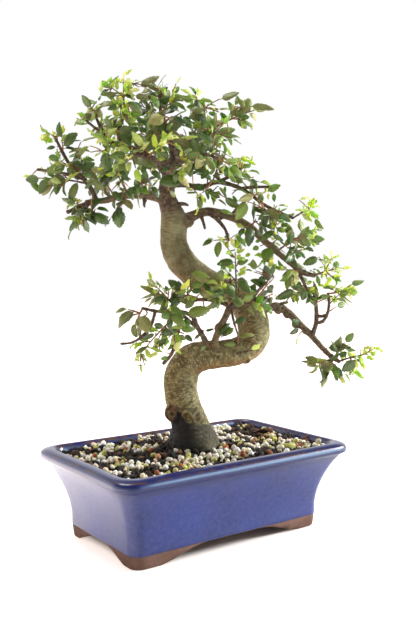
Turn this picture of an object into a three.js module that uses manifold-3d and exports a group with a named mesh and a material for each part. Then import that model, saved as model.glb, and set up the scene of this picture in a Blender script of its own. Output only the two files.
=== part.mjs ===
// Chinese elm bonsai, trained in an S-bend, in a blue glazed rectangular pot on four feet.
// Millimetres, +Z up. The pot's long side runs along X and its middle stands under the tree.
import * as THREE from 'three';
import { mergeVertices } from 'three/addons/utils/BufferGeometryUtils.js';
import Module from 'manifold-3d';

const wasm = await Module();
wasm.setup();

// Pot
const RIM_LENGTH = 205;
const RIM_WIDTH = 134;
const POT_HEIGHT = 66;
const RIM_OVERHANG = 18;
const RIM_CORNER = 14;
const BODY_CORNER = 10;
const FOOT_HEIGHT = 9;
const FOOT_DEPTH = 13;
const LONG_SIDE_ARCH = 73;
const SHORT_SIDE_ARCH = 34;
const ARCH_SLOPE = 9;
const DRAIN_HOLE_RADIUS = 7;
const DRAIN_HOLE_SPACING = 88;
const CORNER_STEPS = 3;

// Wall sections: how far out from the body's foot line, and how high
const OUTER_WALL = [[-0.6, 9], [0, 10], [0, 18], [1.6, 28], [3.9, 36], [8.3, 47], [12.6, 54], [15, 58.6]];
const LIP = [[17.6, 59.6], [18, 60.6], [18, 64.6], [16.6, POT_HEIGHT], [9.4, 65.4], [8, 64.4]];
const INNER_WALL = [[7.2, 58], [3.5, 50], [-1.5, 38], [-4.5, 28], [-6.2, 19], [-7.5, 16.5]];

// Drain screens, plastic mesh laid over the holes
const SCREEN_SIZE = 24;
const SCREEN_THICKNESS = 1;
const SCREEN_SLOTS = 4;
const SCREEN_BAR = 1.6;

// Soil
const SOIL_EDGE_HEIGHT = 59.5;
const SOIL_MOUND = 5;
const SOIL_MOUND_REACH = 42;
const GRIT_RELIEF = 2.4;
const GRIT_STEP = 7.6;

// Clearance kept between pieces that touch
const GAP = 0.3;

// The S-bend lies in a plane turned from the pot's long side
const TREE_TURN = THREE.MathUtils.degToRad(36.2);

// Leaves, alternate along their shoots. Young shoots have shorter ones.
const BLADE_THICKNESS = 0.6;
const BLADE_FOLD = 0.22;
const LEAF_WIDTH = 0.56;
const LEAF_LENGTHS = { dark: 14.5, mid: 13.5, olive: 14, lime: 10.5 };
const LARGE_LEAF = 14;
const LEAF_STEP = 8;
const TIP_LEAF = 0.8;
const FIRST_LEAF = 0.32;
const LEAF_ROOM = 5;
const LEAF_ANGLE = 0.98;
const LEAF_DROOP = 0.24;
const LEAF_BENDS = [[0, 0], [0.4, 0], [-0.4, 0], [0, 0.3], [0.4, 0.3], [-0.4, 0.3], [0, 0.55]];
const STALK = 1.3;
const STALK_BASE = 1.3;
const LEAF_CLEARANCE = 4.1;
const OWN_LEAF_CLEARANCE = 2.2;
const LEAF_SEED = 8081;

// Shoots
const SHOOT_RADIUS = 0.75;
const SHOOT_ARCH = 0.06;
const SHORTEST_SHOOT = 0.5;
const SIDE_SHOOT_START = 0.4;

// Middle of the crown, from which leaves turn their faces outward: across, back, up
const CROWN_HEART = [-15, 4, 280];

// Rings along the curve of each limb: a rounder section on thick wood
const THICK_WOOD = 6;
const STOUT_WOOD = 3.1;

// Grown wood: points along each limb as [across the bend, back, up, radius]
const LIMBS = {
  trunk: [
    [0, 0, 47, 17], [-1, 0, 63, 20], [-3, -1, 72, 17.2], [-5, -1, 82, 13.9], [-9, -3, 96, 12.5],
    [-12, -4, 108, 12.4], [-12, -5, 117, 12.6], [-9, -6, 126, 12.2], [-3, -7, 133, 11.2],
    [7, -7, 136.5, 10.5], [18.5, -7, 137, 10], [31, -6, 138.5, 10], [40, -4, 142, 11],
    [44.4, -2, 150, 12.3], [43.6, 0, 160, 12.5], [39.7, 2, 169, 11.5], [33.7, 4, 176.5, 10.6],
    [24.6, 6, 182.5, 10], [12.4, 7, 188.6, 10], [1, 8, 196, 10], [-8.7, 8, 204, 10],
    [-14.8, 8, 213, 10], [-17, 7, 222, 9.8], [-16.8, 6, 231, 9.8], [-17, 5, 240, 9.2],
    [-20, 4, 249, 7.6], [-22, 3, 257, 6.8], [-21, 2, 266, 5.8],
  ],
  leader: [
    [-21.5, 2, 262, 5.6], [-19, 2, 275, 5], [-14, 4, 285, 4.2], [-7, 6, 293, 3.3],
    [2, 8, 298, 2.7], [9, 8, 302, 2.1], [16, 8, 308, 1.5],
  ],
  left: [
    [-19, 3, 252, 5], [-34, 0, 255.5, 3.9], [-46, -4, 255.5, 3.1], [-57, -6, 254, 2.8],
    [-66, -8, 251, 2.5], [-74, -8, 250, 2.1], [-81, -6, 250, 1.5],
  ],
  arch: [
    [-14, 5, 233, 5.4], [0, 10, 241.5, 4], [9, 12, 244, 3.6], [20, 10, 242, 3.5], [31, 6, 238, 3.3],
    [42, 2, 231, 3], [51, 0, 222, 2.7], [61, -2, 213, 2.5], [72, -4, 204, 2.3], [82, -4, 197, 2.1],
    [89, -4, 195, 1.5],
  ],
  low: [
    [42, 5, 164, 4.4], [57, 13, 170, 3.2], [64, 16, 171, 3.1], [72, 16, 166, 3], [80, 14, 158, 2.7],
    [89, 12, 149, 2.5], [97, 10, 140, 2.3], [104, 8, 133, 2.1], [110, 6, 129, 1.5],
  ],
  low_up: [[90, 12, 148, 2], [93, 11, 158, 1.7], [93, 10, 169, 1.5], [92, 9, 177, 1.4], [90, 8, 184, 1.1]],
  low_up2: [[93, 11, 158, 1.4], [98, 8, 160, 1.3], [101, 6, 166, 1.2], [102, 5, 174, 1.1], [101, 4, 181, 1]],
  front: [
    [14, -9, 138, 3.4], [15, -20, 149, 2.6], [18, -24, 156, 2.9], [22, -26, 165, 2.4], [26, -26, 172, 3],
    [33, -24, 175, 2.9], [41, -22, 176, 2.6], [48, -20, 178, 2.3], [54, -19, 177, 1.8],
  ],
  front_arm: [[26, -26, 173, 2], [15, -28, 177, 1.4], [5, -30, 178, 1.3], [-4, -32, 177, 1]],
  vee: [
    [10, -8, 139, 3.2], [6, -20, 150, 2.1], [1, -26, 159, 1.8], [-2, -30, 166, 1.6], [-9, -32, 169, 1.4],
    [-18, -34, 169, 1.2], [-28, -36, 170, 1.1], [-37, -38, 172, 1],
  ],
  right_up: [
    [-21, 2, 263, 3], [-11, 6, 264, 2.3], [-1, 8, 263, 2], [7, 8, 263, 1.8], [16, 8, 266, 1.6],
    [34, 4, 261, 1.4], [54, 0, 247, 1.2], [73, -4, 238, 1],
  ],
  apex: [[-16, 3, 280, 3.4], [-18, -3, 293, 2.6], [-22, -6, 304, 2.1], [-25, -6, 314, 1.6], [-27, -4, 323, 1.1]],
  top_left: [
    [-20, 2, 270, 3.8], [-30, -8, 280, 2.8], [-41, -14, 286, 2.4], [-53, -18, 289, 2], [-63, -20, 293, 1.6],
    [-71, -20, 308, 1.1],
  ],
  peak: [[-52, -18, 288, 1.9], [-56, -16, 299, 1.4], [-53, -14, 309, 1.2], [-52, -12, 318, 1]],
  back_left: [[-21, 3, 272, 3.4], [-26, 22, 286, 2.4], [-34, 38, 299, 1.8], [-41, 50, 311, 1.1]],
  back_right: [[-17, 4, 277, 3.2], [-8, 22, 286, 2.2], [3, 36, 296, 1.7], [14, 46, 305, 1.1]],
  front_l: [[-20, 0, 269, 3.2], [-26, -18, 275, 2.2], [-33, -30, 279, 1.7], [-41, -38, 280, 1.1]],
  front_r: [[-17, 2, 278, 3], [-8, -16, 279, 2], [0, -26, 281, 1.5], [9, -32, 281, 1.2], [16, -34, 278, 1]],
  l_up: [
    [-73, -8, 249, 2.2], [-77, -10, 259, 1.7], [-82, -12, 266, 1.6], [-87, -14, 271, 1.4],
    [-93, -14, 278, 1.3], [-102, -14, 295, 1],
  ],
  under: [[12, 11, 242, 2], [19, 8, 235, 1.3], [23, 6, 229, 1.1], [25, 5, 222, 1]],
  neck_stub: [[-17, 3, 248, 2.2], [-9, 1, 249, 1.3], [-6, 0, 248, 1]],
  low_stub: [[62, 15, 170, 2], [68, 15, 173.5, 1.2], [71, 15, 174, 0.9]],
};

// Healed cuts and swellings on the wood: [across, back, up, radius]
const KNOTS = [
  [-20, -8, 90, 6], [-8, -14, 84, 5], [36, -10, 131, 4], [64, 15, 167.5, 3], [18, -25, 157, 3.8],
];

// Leafy sprays: name, limb it grows from, how far along, tone, and where the foliage of each
// of its shoots ends, as [across, back, up]
const SPRAYS = [
  ['left_far', 'l_up', 0.3, 'mid', [[-124, -22, 267], [-108, -28, 254]]],
  ['left_top', 'l_up', 1, 'lime', [[-109, -14, 302]]],
  ['left_upper', 'l_up', 0.58, 'mid', [[-106, -26, 284], [-87, 0, 293]]],
  ['left_low', 'left', 0.9, 'dark', [[-93, -18, 227], [-67, -24, 237]]],
  ['left_end', 'left', 1, 'olive', [[-96, 4, 242]]],
  ['left_mid', 'left', 0.62, 'dark', [[-77, -18, 275]]],
  ['left_back', 'left', 0.55, 'dark', [[-86, 36, 285]]],
  ['left_rise', 'left', 0.4, 'mid', [[-60, -32, 276]]],
  ['left_inner', 'left', 0.2, 'dark', [[-41, -32, 266], [-39, 22, 268]]],
  ['top_left_end', 'top_left', 1, 'mid', [[-78, -22, 323], [-84, -28, 305]]],
  ['top_left_lime', 'top_left', 0.62, 'lime', [[-66, -40, 289]]],
  ['top_left_back', 'top_left', 0.75, 'dark', [[-72, 2, 316]]],
  ['peak_left', 'peak', 1, 'lime', [[-53, -12, 345], [-68, -18, 337]]],
  ['peak_mid', 'peak', 0.6, 'lime', [[-52, -32, 316]]],
  ['apex_end', 'apex', 1, 'olive', [[-28, -6, 345], [-41, 4, 336]]],
  ['apex_right', 'apex', 0.75, 'mid', [[-12, 0, 340]]],
  ['apex_left', 'apex', 0.6, 'dark', [[-39, -20, 323]]],
  ['apex_front', 'apex', 0.35, 'olive', [[-26, -34, 298]]],
  ['apex_back', 'apex', 0.55, 'dark', [[-25, 28, 331]]],
  ['leader_end', 'leader', 1, 'olive', [[56, 14, 326], [32, 4, 331]]],
  ['leader_up', 'leader', 0.85, 'mid', [[-3, -4, 339]]],
  ['leader_front', 'leader', 0.7, 'dark', [[17, -26, 300]]],
  ['leader_right', 'leader', 0.85, 'mid', [[38, -6, 295]]],
  ['leader_back', 'leader', 0.65, 'dark', [[10, 34, 320]]],
  ['back_left_end', 'back_left', 1, 'dark', [[-60, 58, 327], [-36, 56, 335]]],
  ['back_left_low', 'back_left', 0.6, 'dark', [[-60, 54, 300]]],
  ['back_right_end', 'back_right', 1, 'mid', [[22, 54, 324]]],
  ['back_right_low', 'back_right', 0.55, 'dark', [[22, 52, 291]]],
  ['front_left_end', 'front_l', 1, 'mid', [[-54, -48, 268]]],
  ['front_left_up', 'front_l', 0.7, 'lime', [[-10, -46, 294]]],
  ['front_right_mid', 'front_r', 0.5, 'dark', [[-4, -42, 266]]],
  ['front_right_end', 'front_r', 1, 'mid', [[33, -40, 268]]],
  ['right_up_start', 'right_up', 0.25, 'lime', [[6, -8, 249]]],
  ['right_up_mid', 'right_up', 0.5, 'mid', [[51, 8, 278], [31, -6, 273]]],
  ['right_up_end', 'right_up', 1, 'lime', [[94, -8, 249]]],
  ['right_up_low', 'right_up', 0.8, 'dark', [[64, -20, 226]]],
  ['arch_top', 'arch', 0.5, 'dark', [[48, -18, 243], [31, -14, 228]]],
  ['arch_back', 'arch', 0.6, 'mid', [[77, 34, 246]]],
  ['arch_mid', 'arch', 0.7, 'mid', [[100, 12, 236], [84, 24, 227]]],
  ['arch_front', 'arch', 0.75, 'dark', [[87, -24, 218]]],
  ['arch_end', 'arch', 1, 'lime', [[120, 6, 203], [109, -14, 188]]],
  ['arch_under', 'arch', 0.88, 'mid', [[53, -16, 200]]],
  ['low_up_end', 'low_up', 1, 'dark', [[64, 4, 177], [84, 14, 194]]],
  ['low_up2_end', 'low_up2', 1, 'mid', [[126, 4, 183]]],
  ['low_end', 'low', 1, 'lime', [[142, 6, 137], [121, 2, 117]]],
  ['low_tip_up', 'low', 0.93, 'dark', [[120, -2, 154]]],
  ['low_tip_down', 'low', 0.9, 'dark', [[102, 8, 112], [82, -10, 129]]],
  ['front_up', 'front', 0.58, 'lime', [[29, -18, 222]]],
  ['front_right', 'front', 0.8, 'dark', [[66, -14, 203]]],
  ['front_pad', 'front', 0.5, 'mid', [[13, -40, 196], [40, -42, 187]]],
  ['front_left', 'front_arm', 1, 'dark', [[-14, -36, 190]]],
  ['vee_end', 'vee', 1, 'olive', [[-46, -42, 153], [-56, -38, 174]]],
  ['vee_up', 'vee', 0.62, 'mid', [[-34, -44, 196]]],
  ['vee_down', 'vee', 0.6, 'lime', [[-45, -40, 133]]],
  ['under', 'under', 1, 'mid', [[3, 0, 221], [39, 8, 222]]],
];

const TONES = {
  dark: 0x2f5a2a,
  mid: 0x4d8030,
  olive: 0x76844a,
  lime: 0xa9cf3a,
};

const potClay = new THREE.MeshStandardMaterial({ color: 0x3c4c9a, roughness: 0.25, metalness: 0 });
const soilMix = new THREE.MeshStandardMaterial({ color: 0x2a211b, roughness: 0.95, metalness: 0 });
const screenPlastic = new THREE.MeshStandardMaterial({ color: 0x1c1c1c, roughness: 0.6, metalness: 0 });
const bark = new THREE.MeshStandardMaterial({ color: 0x7c7048, roughness: 0.85, metalness: 0 });

// A closed three.js geometry as a solid that can be joined and cut
function solid(geometry) {
  const bare = geometry.clone();
  bare.deleteAttribute('normal');
  bare.deleteAttribute('uv');
  const merged = mergeVertices(bare, 1e-4);
  const corners = merged.index.array;
  const kept = [];
  for (let i = 0; i < corners.length; i += 3) {
    const [a, b, c] = [corners[i], corners[i + 1], corners[i + 2]];
    if (a !== b && b !== c && c !== a) kept.push(a, b, c);
  }
  return new wasm.Manifold(new wasm.Mesh({
    numProp: 3,
    vertProperties: new Float32Array(merged.attributes.position.array),
    triVerts: new Uint32Array(kept),
  }));
}

function join(solids) {
  return solids.reduce((whole, piece) => whole.add(piece));
}

// Back from a solid to a named mesh
function mesh(name, body, material) {
  const result = body.getMesh();
  const geometry = new THREE.BufferGeometry();
  const flat = new Float32Array(result.numVert * 3);
  for (let i = 0; i < result.numVert; i += 1) {
    for (let k = 0; k < 3; k += 1) flat[i * 3 + k] = result.vertProperties[i * result.numProp + k];
  }
  geometry.setAttribute('position', new THREE.BufferAttribute(flat, 3));
  geometry.setIndex([...result.triVerts]);
  geometry.computeVertexNormals();
  const piece = new THREE.Mesh(geometry, material);
  piece.name = name;
  return piece;
}

// Small whole-number generator, so the same draws come out anywhere
function draws(seed) {
  let state = seed;
  return () => {
    state = (state * 16807) % 2147483647;
    return state / 2147483647;
  };
}

// Point i of a rounded rectangle that stands `reach` outside the body's foot line
function ringPoint(i, reach) {
  const perCorner = CORNER_STEPS + 1;
  const quarter = Math.floor(i / perCorner) % 4;
  const step = (i % perCorner) / CORNER_STEPS;
  const corner = reach > 0
    ? BODY_CORNER + (RIM_CORNER - BODY_CORNER) * reach / RIM_OVERHANG
    : Math.max(2, BODY_CORNER + reach);
  const halfLength = RIM_LENGTH / 2 - RIM_OVERHANG + reach - corner;
  const halfWidth = RIM_WIDTH / 2 - RIM_OVERHANG + reach - corner;
  const angle = (quarter + step) * Math.PI / 2;
  const alongX = quarter === 0 || quarter === 3 ? halfLength : -halfLength;
  const alongY = quarter < 2 ? halfWidth : -halfWidth;
  return [alongX + corner * Math.cos(angle), alongY + corner * Math.sin(angle)];
}

// A lathe turned on the pot's rounded rectangle. A null reach is a point on the axis.
function rectangularLathe(profile) {
  const sides = 4 * (CORNER_STEPS + 1);
  const outline = profile.map(([reach, z]) => new THREE.Vector2(reach === null ? 0 : 1, z));
  const geometry = new THREE.LatheGeometry(outline, sides);
  const spots = geometry.attributes.position;
  for (let i = 0; i <= sides; i += 1) {
    profile.forEach(([reach, z], j) => {
      const [x, y] = reach === null ? [0, 0] : ringPoint(i % sides, reach);
      spots.setXYZ(i * profile.length + j, x, y, z);
    });
  }
  return geometry;
}

// A cutter for the arch between two feet: straight through along Y, or along X when turned
function archCutter(width, turned) {
  const outline = new THREE.Shape();
  outline.moveTo(-width / 2 - ARCH_SLOPE, -1);
  outline.lineTo(width / 2 + ARCH_SLOPE, -1);
  outline.quadraticCurveTo(width / 2 + ARCH_SLOPE * 0.25, FOOT_HEIGHT * 0.45, width / 2, FOOT_HEIGHT);
  outline.lineTo(-width / 2, FOOT_HEIGHT);
  outline.quadraticCurveTo(
    -width / 2 - ARCH_SLOPE * 0.25, FOOT_HEIGHT * 0.45, -width / 2 - ARCH_SLOPE, -1);
  const cutter = new THREE.ExtrudeGeometry(outline, {
    depth: RIM_LENGTH, bevelEnabled: false, curveSegments: 3,
  });
  cutter.translate(0, 0, -RIM_LENGTH / 2);
  cutter.rotateX(Math.PI / 2);
  if (turned) cutter.rotateZ(Math.PI / 2);
  return solid(cutter);
}

function drainHole(side) {
  const drill = new THREE.CylinderGeometry(DRAIN_HOLE_RADIUS, DRAIN_HOLE_RADIUS, 30, 16);
  drill.rotateX(Math.PI / 2);
  drill.translate(side * DRAIN_HOLE_SPACING / 2, 0, 12);
  return solid(drill);
}

function potSolid() {
  const floorTop = INNER_WALL.at(-1)[1] - 0.3;
  const shell = solid(rectangularLathe([
    [null, FOOT_HEIGHT], ...OUTER_WALL, ...LIP, ...INNER_WALL, [null, floorTop],
  ]));
  const feet = solid(rectangularLathe([
    [-1.6, 0], [-0.6, FOOT_HEIGHT], [-0.7, FOOT_HEIGHT + 1],
    [-FOOT_DEPTH, FOOT_HEIGHT + 1], [-FOOT_DEPTH, 0], [-1.6, 0],
  ]));
  const archedFeet = feet
    .subtract(archCutter(LONG_SIDE_ARCH, false))
    .subtract(archCutter(SHORT_SIDE_ARCH, true));
  return shell.add(archedFeet).subtract(drainHole(-1)).subtract(drainHole(1));
}

// Square slotted plate that keeps the soil from washing out of a drain hole. Grow swells it, unslotted.
function screenSolid(side, grow) {
  const centre = [side * DRAIN_HOLE_SPACING / 2, 0, INNER_WALL.at(-1)[1] + GAP + SCREEN_THICKNESS / 2];
  const size = SCREEN_SIZE + 2 * grow;
  const plate = new THREE.BoxGeometry(size, size, SCREEN_THICKNESS + 2 * grow).translate(...centre);
  if (grow > 0) return solid(plate);
  const pitch = (SCREEN_SIZE - SCREEN_BAR) / SCREEN_SLOTS;
  let screen = solid(plate);
  for (let i = 0; i < SCREEN_SLOTS; i += 1) {
    const slot = new THREE.BoxGeometry(pitch - SCREEN_BAR, SCREEN_SIZE - 2 * SCREEN_BAR, 10);
    slot.translate(...centre).translate((i - (SCREEN_SLOTS - 1) / 2) * pitch, 0, 0);
    screen = screen.subtract(solid(slot));
  }
  return screen;
}

// From the tree's own axes (across the bend, back, up) to the pot's
function at([across, back, up]) {
  return new THREE.Vector3(
    across * Math.cos(TREE_TURN) + back * Math.sin(TREE_TURN),
    -across * Math.sin(TREE_TURN) + back * Math.cos(TREE_TURN),
    up,
  );
}

// Radius at a share of the limb's control points
function radiusAt(points, t) {
  const place = t * (points.length - 1);
  const k = Math.min(points.length - 2, Math.floor(place));
  const f = place - k;
  return points[k][3] * (1 - f) + points[k + 1][3] * f;
}

function limbCurve(points) {
  return new THREE.CatmullRomCurve3(points.map(at), false, 'centripetal');
}

// Root flare in low ridges near the soil, and shallow muscle along the trunk
function girth(angle, height) {
  const flare = Math.max(0, Math.min(1, (84 - height) / 20));
  return 1 + 0.07 * flare * Math.cos(3 * angle + 0.8) + 0.05 * flare * Math.cos(5 * angle)
    + 0.025 * Math.sin(2 * angle + height / 17) + 0.02 * Math.sin(3 * angle - height / 9);
}

// A round bar bent along a curve, with a radius for each share of it. Grow swells it on every side.
function bentBar(curve, sides, rings, radius, grow, shareOf) {
  const frames = curve.computeFrenetFrames(rings, false);
  const bar = new THREE.CylinderGeometry(1, 1, 1, sides, rings);
  const spots = bar.attributes.position;
  for (let i = 0; i < spots.count; i += 1) {
    const ring = Math.round((0.5 - spots.getY(i)) * rings);
    const t = shareOf(ring / rings);
    const centre = curve.getPoint(t);
    const [u, v] = [spots.getX(i), spots.getZ(i)];
    const reach = radius(t, Math.atan2(v, u), centre.z) + grow;
    if (ring === 0) centre.addScaledVector(frames.tangents[0], -grow);
    if (ring === rings) centre.addScaledVector(frames.tangents[rings], grow);
    centre.addScaledVector(frames.normals[ring], u * reach);
    centre.addScaledVector(frames.binormals[ring], v * reach);
    spots.setXYZ(i, centre.x, centre.y, centre.z);
  }
  return solid(bar);
}

function limbSolid(name, grow) {
  const points = LIMBS[name];
  const curve = limbCurve(points);
  const stoutest = Math.max(...points.map((p) => p[3]));
  const thick = stoutest > THICK_WOOD;
  const sides = thick ? 12 : stoutest > STOUT_WOOD ? 6 : 4;
  const stride = thick ? 8 : stoutest > STOUT_WOOD ? 12 : 14;
  const rings = Math.max(2, Math.round(curve.getLength() / stride));
  const radius = (t, angle, height) => radiusAt(points, t) * (thick ? girth(angle, height) : 1);
  return bentBar(curve, sides, rings, radius, grow, (u) => curve.getUtoTmapping(u));
}

function knotSolid([across, back, up, radius], grow) {
  const ball = new THREE.SphereGeometry(radius + grow, 6, 4);
  const centre = at([across, back, up]);
  ball.translate(centre.x, centre.y, centre.z);
  return solid(ball);
}

function woodSolid(grow) {
  const limbs = Object.keys(LIMBS).map((name) => limbSolid(name, grow));
  const knots = KNOTS.map((knot) => knotSolid(knot, grow));
  return join([...limbs, ...knots]);
}

// Height of the soil: level at the wall, mounded at the trunk, with a grain of grit on every other spot
function soilHeight(x, y, roll) {
  const spread = (x * x + y * y) / (SOIL_MOUND_REACH * SOIL_MOUND_REACH);
  const grain = (Math.round(x / GRIT_STEP) + Math.round(y / GRIT_STEP)) % 2 === 0 ? 1 : -1;
  return SOIL_EDGE_HEIGHT + SOIL_MOUND * Math.exp(-spread) + GRIT_RELIEF * (0.5 * grain + roll() - 0.5);
}

function soilSolid(wood) {
  const block = new THREE.BoxGeometry(
    RIM_LENGTH, RIM_WIDTH, POT_HEIGHT,
    Math.round(RIM_LENGTH / GRIT_STEP), Math.round(RIM_WIDTH / GRIT_STEP), 1);
  const spots = block.attributes.position;
  const heights = new Map();
  const roll = draws(71);
  for (let i = 0; i < spots.count; i += 1) {
    if (spots.getZ(i) < 0) continue;
    const key = `${spots.getX(i).toFixed(2)} ${spots.getY(i).toFixed(2)}`;
    if (!heights.has(key)) heights.set(key, soilHeight(spots.getX(i), spots.getY(i), roll));
    spots.setZ(i, heights.get(key));
  }
  const bed = INNER_WALL.at(-1)[1] + GAP;
  const inner = INNER_WALL.map(([reach, z]) => [reach - GAP - 0.1, Math.max(z, bed)]).reverse();
  const cavity = solid(rectangularLathe([
    [null, bed], ...inner, [inner.at(-1)[0], POT_HEIGHT + 10], [null, POT_HEIGHT + 10],
  ]));
  return solid(block)
    .intersect(cavity)
    .subtract(wood)
    .subtract(screenSolid(-1, GAP))
    .subtract(screenSolid(1, GAP));
}

// Half of a leaf's outline from its stalk to its tip: share of the length, share of the half width
const LARGE_HALF = [[0.17, 0.66], [0.45, 1], [0.5, 0.82], [0.78, 0.6]];
const SMALL_HALF = [[0.22, 0.78], [0.54, 1], [0.61, 0.7]];

// A leaf as points once round its edge on one face: the left teeth, the tip, the right teeth
function bladeEdge({ root, along, side, face, length, width }, lift) {
  const half = length > LARGE_LEAF ? LARGE_HALF : SMALL_HALF;
  const edge = [...half, [1, 0], ...half.map(([u, w]) => [u, -w]).reverse()];
  return edge.map(([u, w]) => root.clone()
    .addScaledVector(along, u * length)
    .addScaledVector(side, w * width / 2)
    .addScaledVector(face, Math.abs(w) * BLADE_FOLD * width / 2 + lift));
}

// A blade that opens from a four-cornered gap in its shoot's skin. Both faces are split alike,
// in two folded halves with a narrow rib between them.
function growBlade(spots, corners, leaf, [upperLeft, upperRight, lowerRight, lowerLeft]) {
  const skin = [BLADE_THICKNESS / 2, -BLADE_THICKNESS / 2].map((lift) => {
    const first = spots.length;
    const edge = bladeEdge(leaf, lift);
    spots.push(...edge);
    return edge.map((spot, k) => first + k);
  });
  const upper = [upperLeft, ...skin[0], upperRight];
  const lower = [lowerLeft, ...skin[1], lowerRight];
  const end = upper.length - 1;
  const tip = end / 2;
  for (let k = 1; k < end; k += 1) {
    const hub = k < tip ? 0 : end;
    if (k === end - 1) break;
    corners.push(upper[hub], upper[k + 1], upper[k], lower[hub], lower[k], lower[k + 1]);
  }
  corners.push(upper[0], upper[end], upper[tip], lower[0], lower[tip], lower[end]);
  for (let k = 0; k < end; k += 1) {
    corners.push(upper[k], upper[k + 1], lower[k + 1], upper[k], lower[k + 1], lower[k]);
  }
}

// A leafy shoot in one skin: a square bar that opens on one side for each leaf, and at its end
function leafyShoot({ curve, plane, leaves, length }) {
  const lateral = leaves.filter((leaf) => leaf.hand !== 0);
  const last = leaves.find((leaf) => leaf.hand === 0);
  const half = STALK_BASE / 2 / length;
  const shares = [0, ...lateral.flatMap(({ share }) => [share - half, share + half]), 1];
  const spots = [];
  const corners = [];
  for (const share of shares) {
    const run = curve.getTangent(share).normalize();
    const side = new THREE.Vector3().crossVectors(plane, run).normalize();
    const up = new THREE.Vector3().crossVectors(run, side);
    const reach = SHOOT_RADIUS * (1 - 0.4 * share);
    for (const [s, u] of [[1, 1], [-1, 1], [-1, -1], [1, -1]]) {
      spots.push(curve.getPoint(share).addScaledVector(side, s * reach).addScaledVector(up, u * reach));
    }
  }
  corners.push(0, 3, 2, 0, 2, 1);
  for (let ring = 0; ring + 1 < shares.length; ring += 1) {
    const leaf = ring % 2 === 1 ? lateral[(ring - 1) / 2] : null;
    for (let k = 0; k < 4; k += 1) {
      const [a, b] = [4 * ring + k, 4 * ring + (k + 1) % 4];
      const [c, d] = [b + 4, a + 4];
      if (leaf && leaf.hand === 1 && k === 3) growBlade(spots, corners, leaf, [b, c, d, a]);
      else if (leaf && leaf.hand === -1 && k === 1) growBlade(spots, corners, leaf, [d, a, b, c]);
      else corners.push(a, b, c, a, c, d);
    }
  }
  const rim = 4 * (shares.length - 1);
  if (last) growBlade(spots, corners, last, [rim, rim + 1, rim + 2, rim + 3]);
  else corners.push(rim, rim + 1, rim + 2, rim, rim + 2, rim + 3);
  return solid(new THREE.BufferGeometry().setFromPoints(spots).setIndex(corners));
}

// A shoot rises a little between its foot and its tip, and stops a leaf's length short of the foliage's end
function shootCurve(foot, end, tone) {
  const leaf = TIP_LEAF * LEAF_LENGTHS[tone] + STALK;
  const tip = foot.clone().lerp(end, Math.max(SHORTEST_SHOOT, 1 - leaf / foot.distanceTo(end)));
  const middle = foot.clone().lerp(tip, 0.5);
  middle.z += SHOOT_ARCH * foot.distanceTo(tip);
  return new THREE.QuadraticBezierCurve3(foot, middle, tip);
}

// The main shoot leaves the limb, and the side shoots leave the main one
function sprayCurves([, limb, share, tone, ends]) {
  const main = shootCurve(limbCurve(LIMBS[limb]).getPoint(share), at(ends[0]), tone);
  const sides = ends.slice(1).map((end) => shootCurve(main.getPoint(SIDE_SHOOT_START), at(end), tone));
  return [main, ...sides];
}

// Space already held by wood, shoots and leaves: points with an owner
const taken = [];

function hold(owner, kind, spots, radius) {
  const centre = spots.reduce((sum, spot) => sum.add(spot), new THREE.Vector3()).divideScalar(spots.length);
  const span = Math.max(...spots.map((spot) => spot.distanceTo(centre)));
  taken.push({ owner, kind, spots, radius, centre, span });
}

function leafSpots(leaf) {
  const spots = [];
  for (const u of [0.17, 0.38, 0.58, 0.78, 0.97]) {
    for (const w of [-0.6, 0, 0.6]) {
      spots.push(leaf.root.clone()
        .addScaledVector(leaf.along, u * leaf.length)
        .addScaledVector(leaf.side, w * leaf.width / 2));
    }
  }
  return spots;
}

// True if the leaf stands clear of the wood and the other sprays, and crosses no leaf of its own
function isClear(leaf, owner) {
  const spots = leafSpots(leaf);
  const centre = spots[7];
  for (const other of taken) {
    const own = other.owner === owner;
    if (own && other.kind === 'shoot') continue;
    const least = other.radius + (own ? OWN_LEAF_CLEARANCE : LEAF_CLEARANCE);
    if (centre.distanceTo(other.centre) > leaf.length * 0.6 + other.span + least) continue;
    const first = own ? 3 : 0;
    for (let i = first; i < spots.length; i += 1) {
      for (let k = first; k < other.spots.length; k += 1) {
        if (spots[i].distanceTo(other.spots[k]) < least) return false;
      }
    }
  }
  return true;
}

// One leaf at a share of the shoot, on one side of it, bent until it stands clear
function placeLeaf(curve, share, hand, plane, size, owner, roll) {
  const [spread, tilt, droop, grow] = [roll(), roll(), roll(), roll()];
  const run = curve.getTangent(share).normalize();
  const length = size * (0.85 + 0.3 * grow);
  for (const [turn, bend] of LEAF_BENDS) {
    const angle = hand === 0 ? 0 : LEAF_ANGLE + 0.3 * (spread - 0.5) + bend;
    const face = plane.clone().applyAxisAngle(run, turn + 0.5 * (tilt - 0.5));
    const across = new THREE.Vector3().crossVectors(face, run).normalize();
    const along = run.clone().multiplyScalar(Math.cos(angle)).addScaledVector(across, hand * Math.sin(angle));
    along.z -= LEAF_DROOP * droop;
    along.normalize();
    face.addScaledVector(along, -face.dot(along)).normalize();
    const side = new THREE.Vector3().crossVectors(face, along);
    const root = curve.getPoint(share).addScaledVector(along, STALK);
    const leaf = { share, hand, root, along, side, face, length, width: length * LEAF_WIDTH };
    if (isClear(leaf, owner)) return leaf;
  }
  return null;
}

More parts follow.
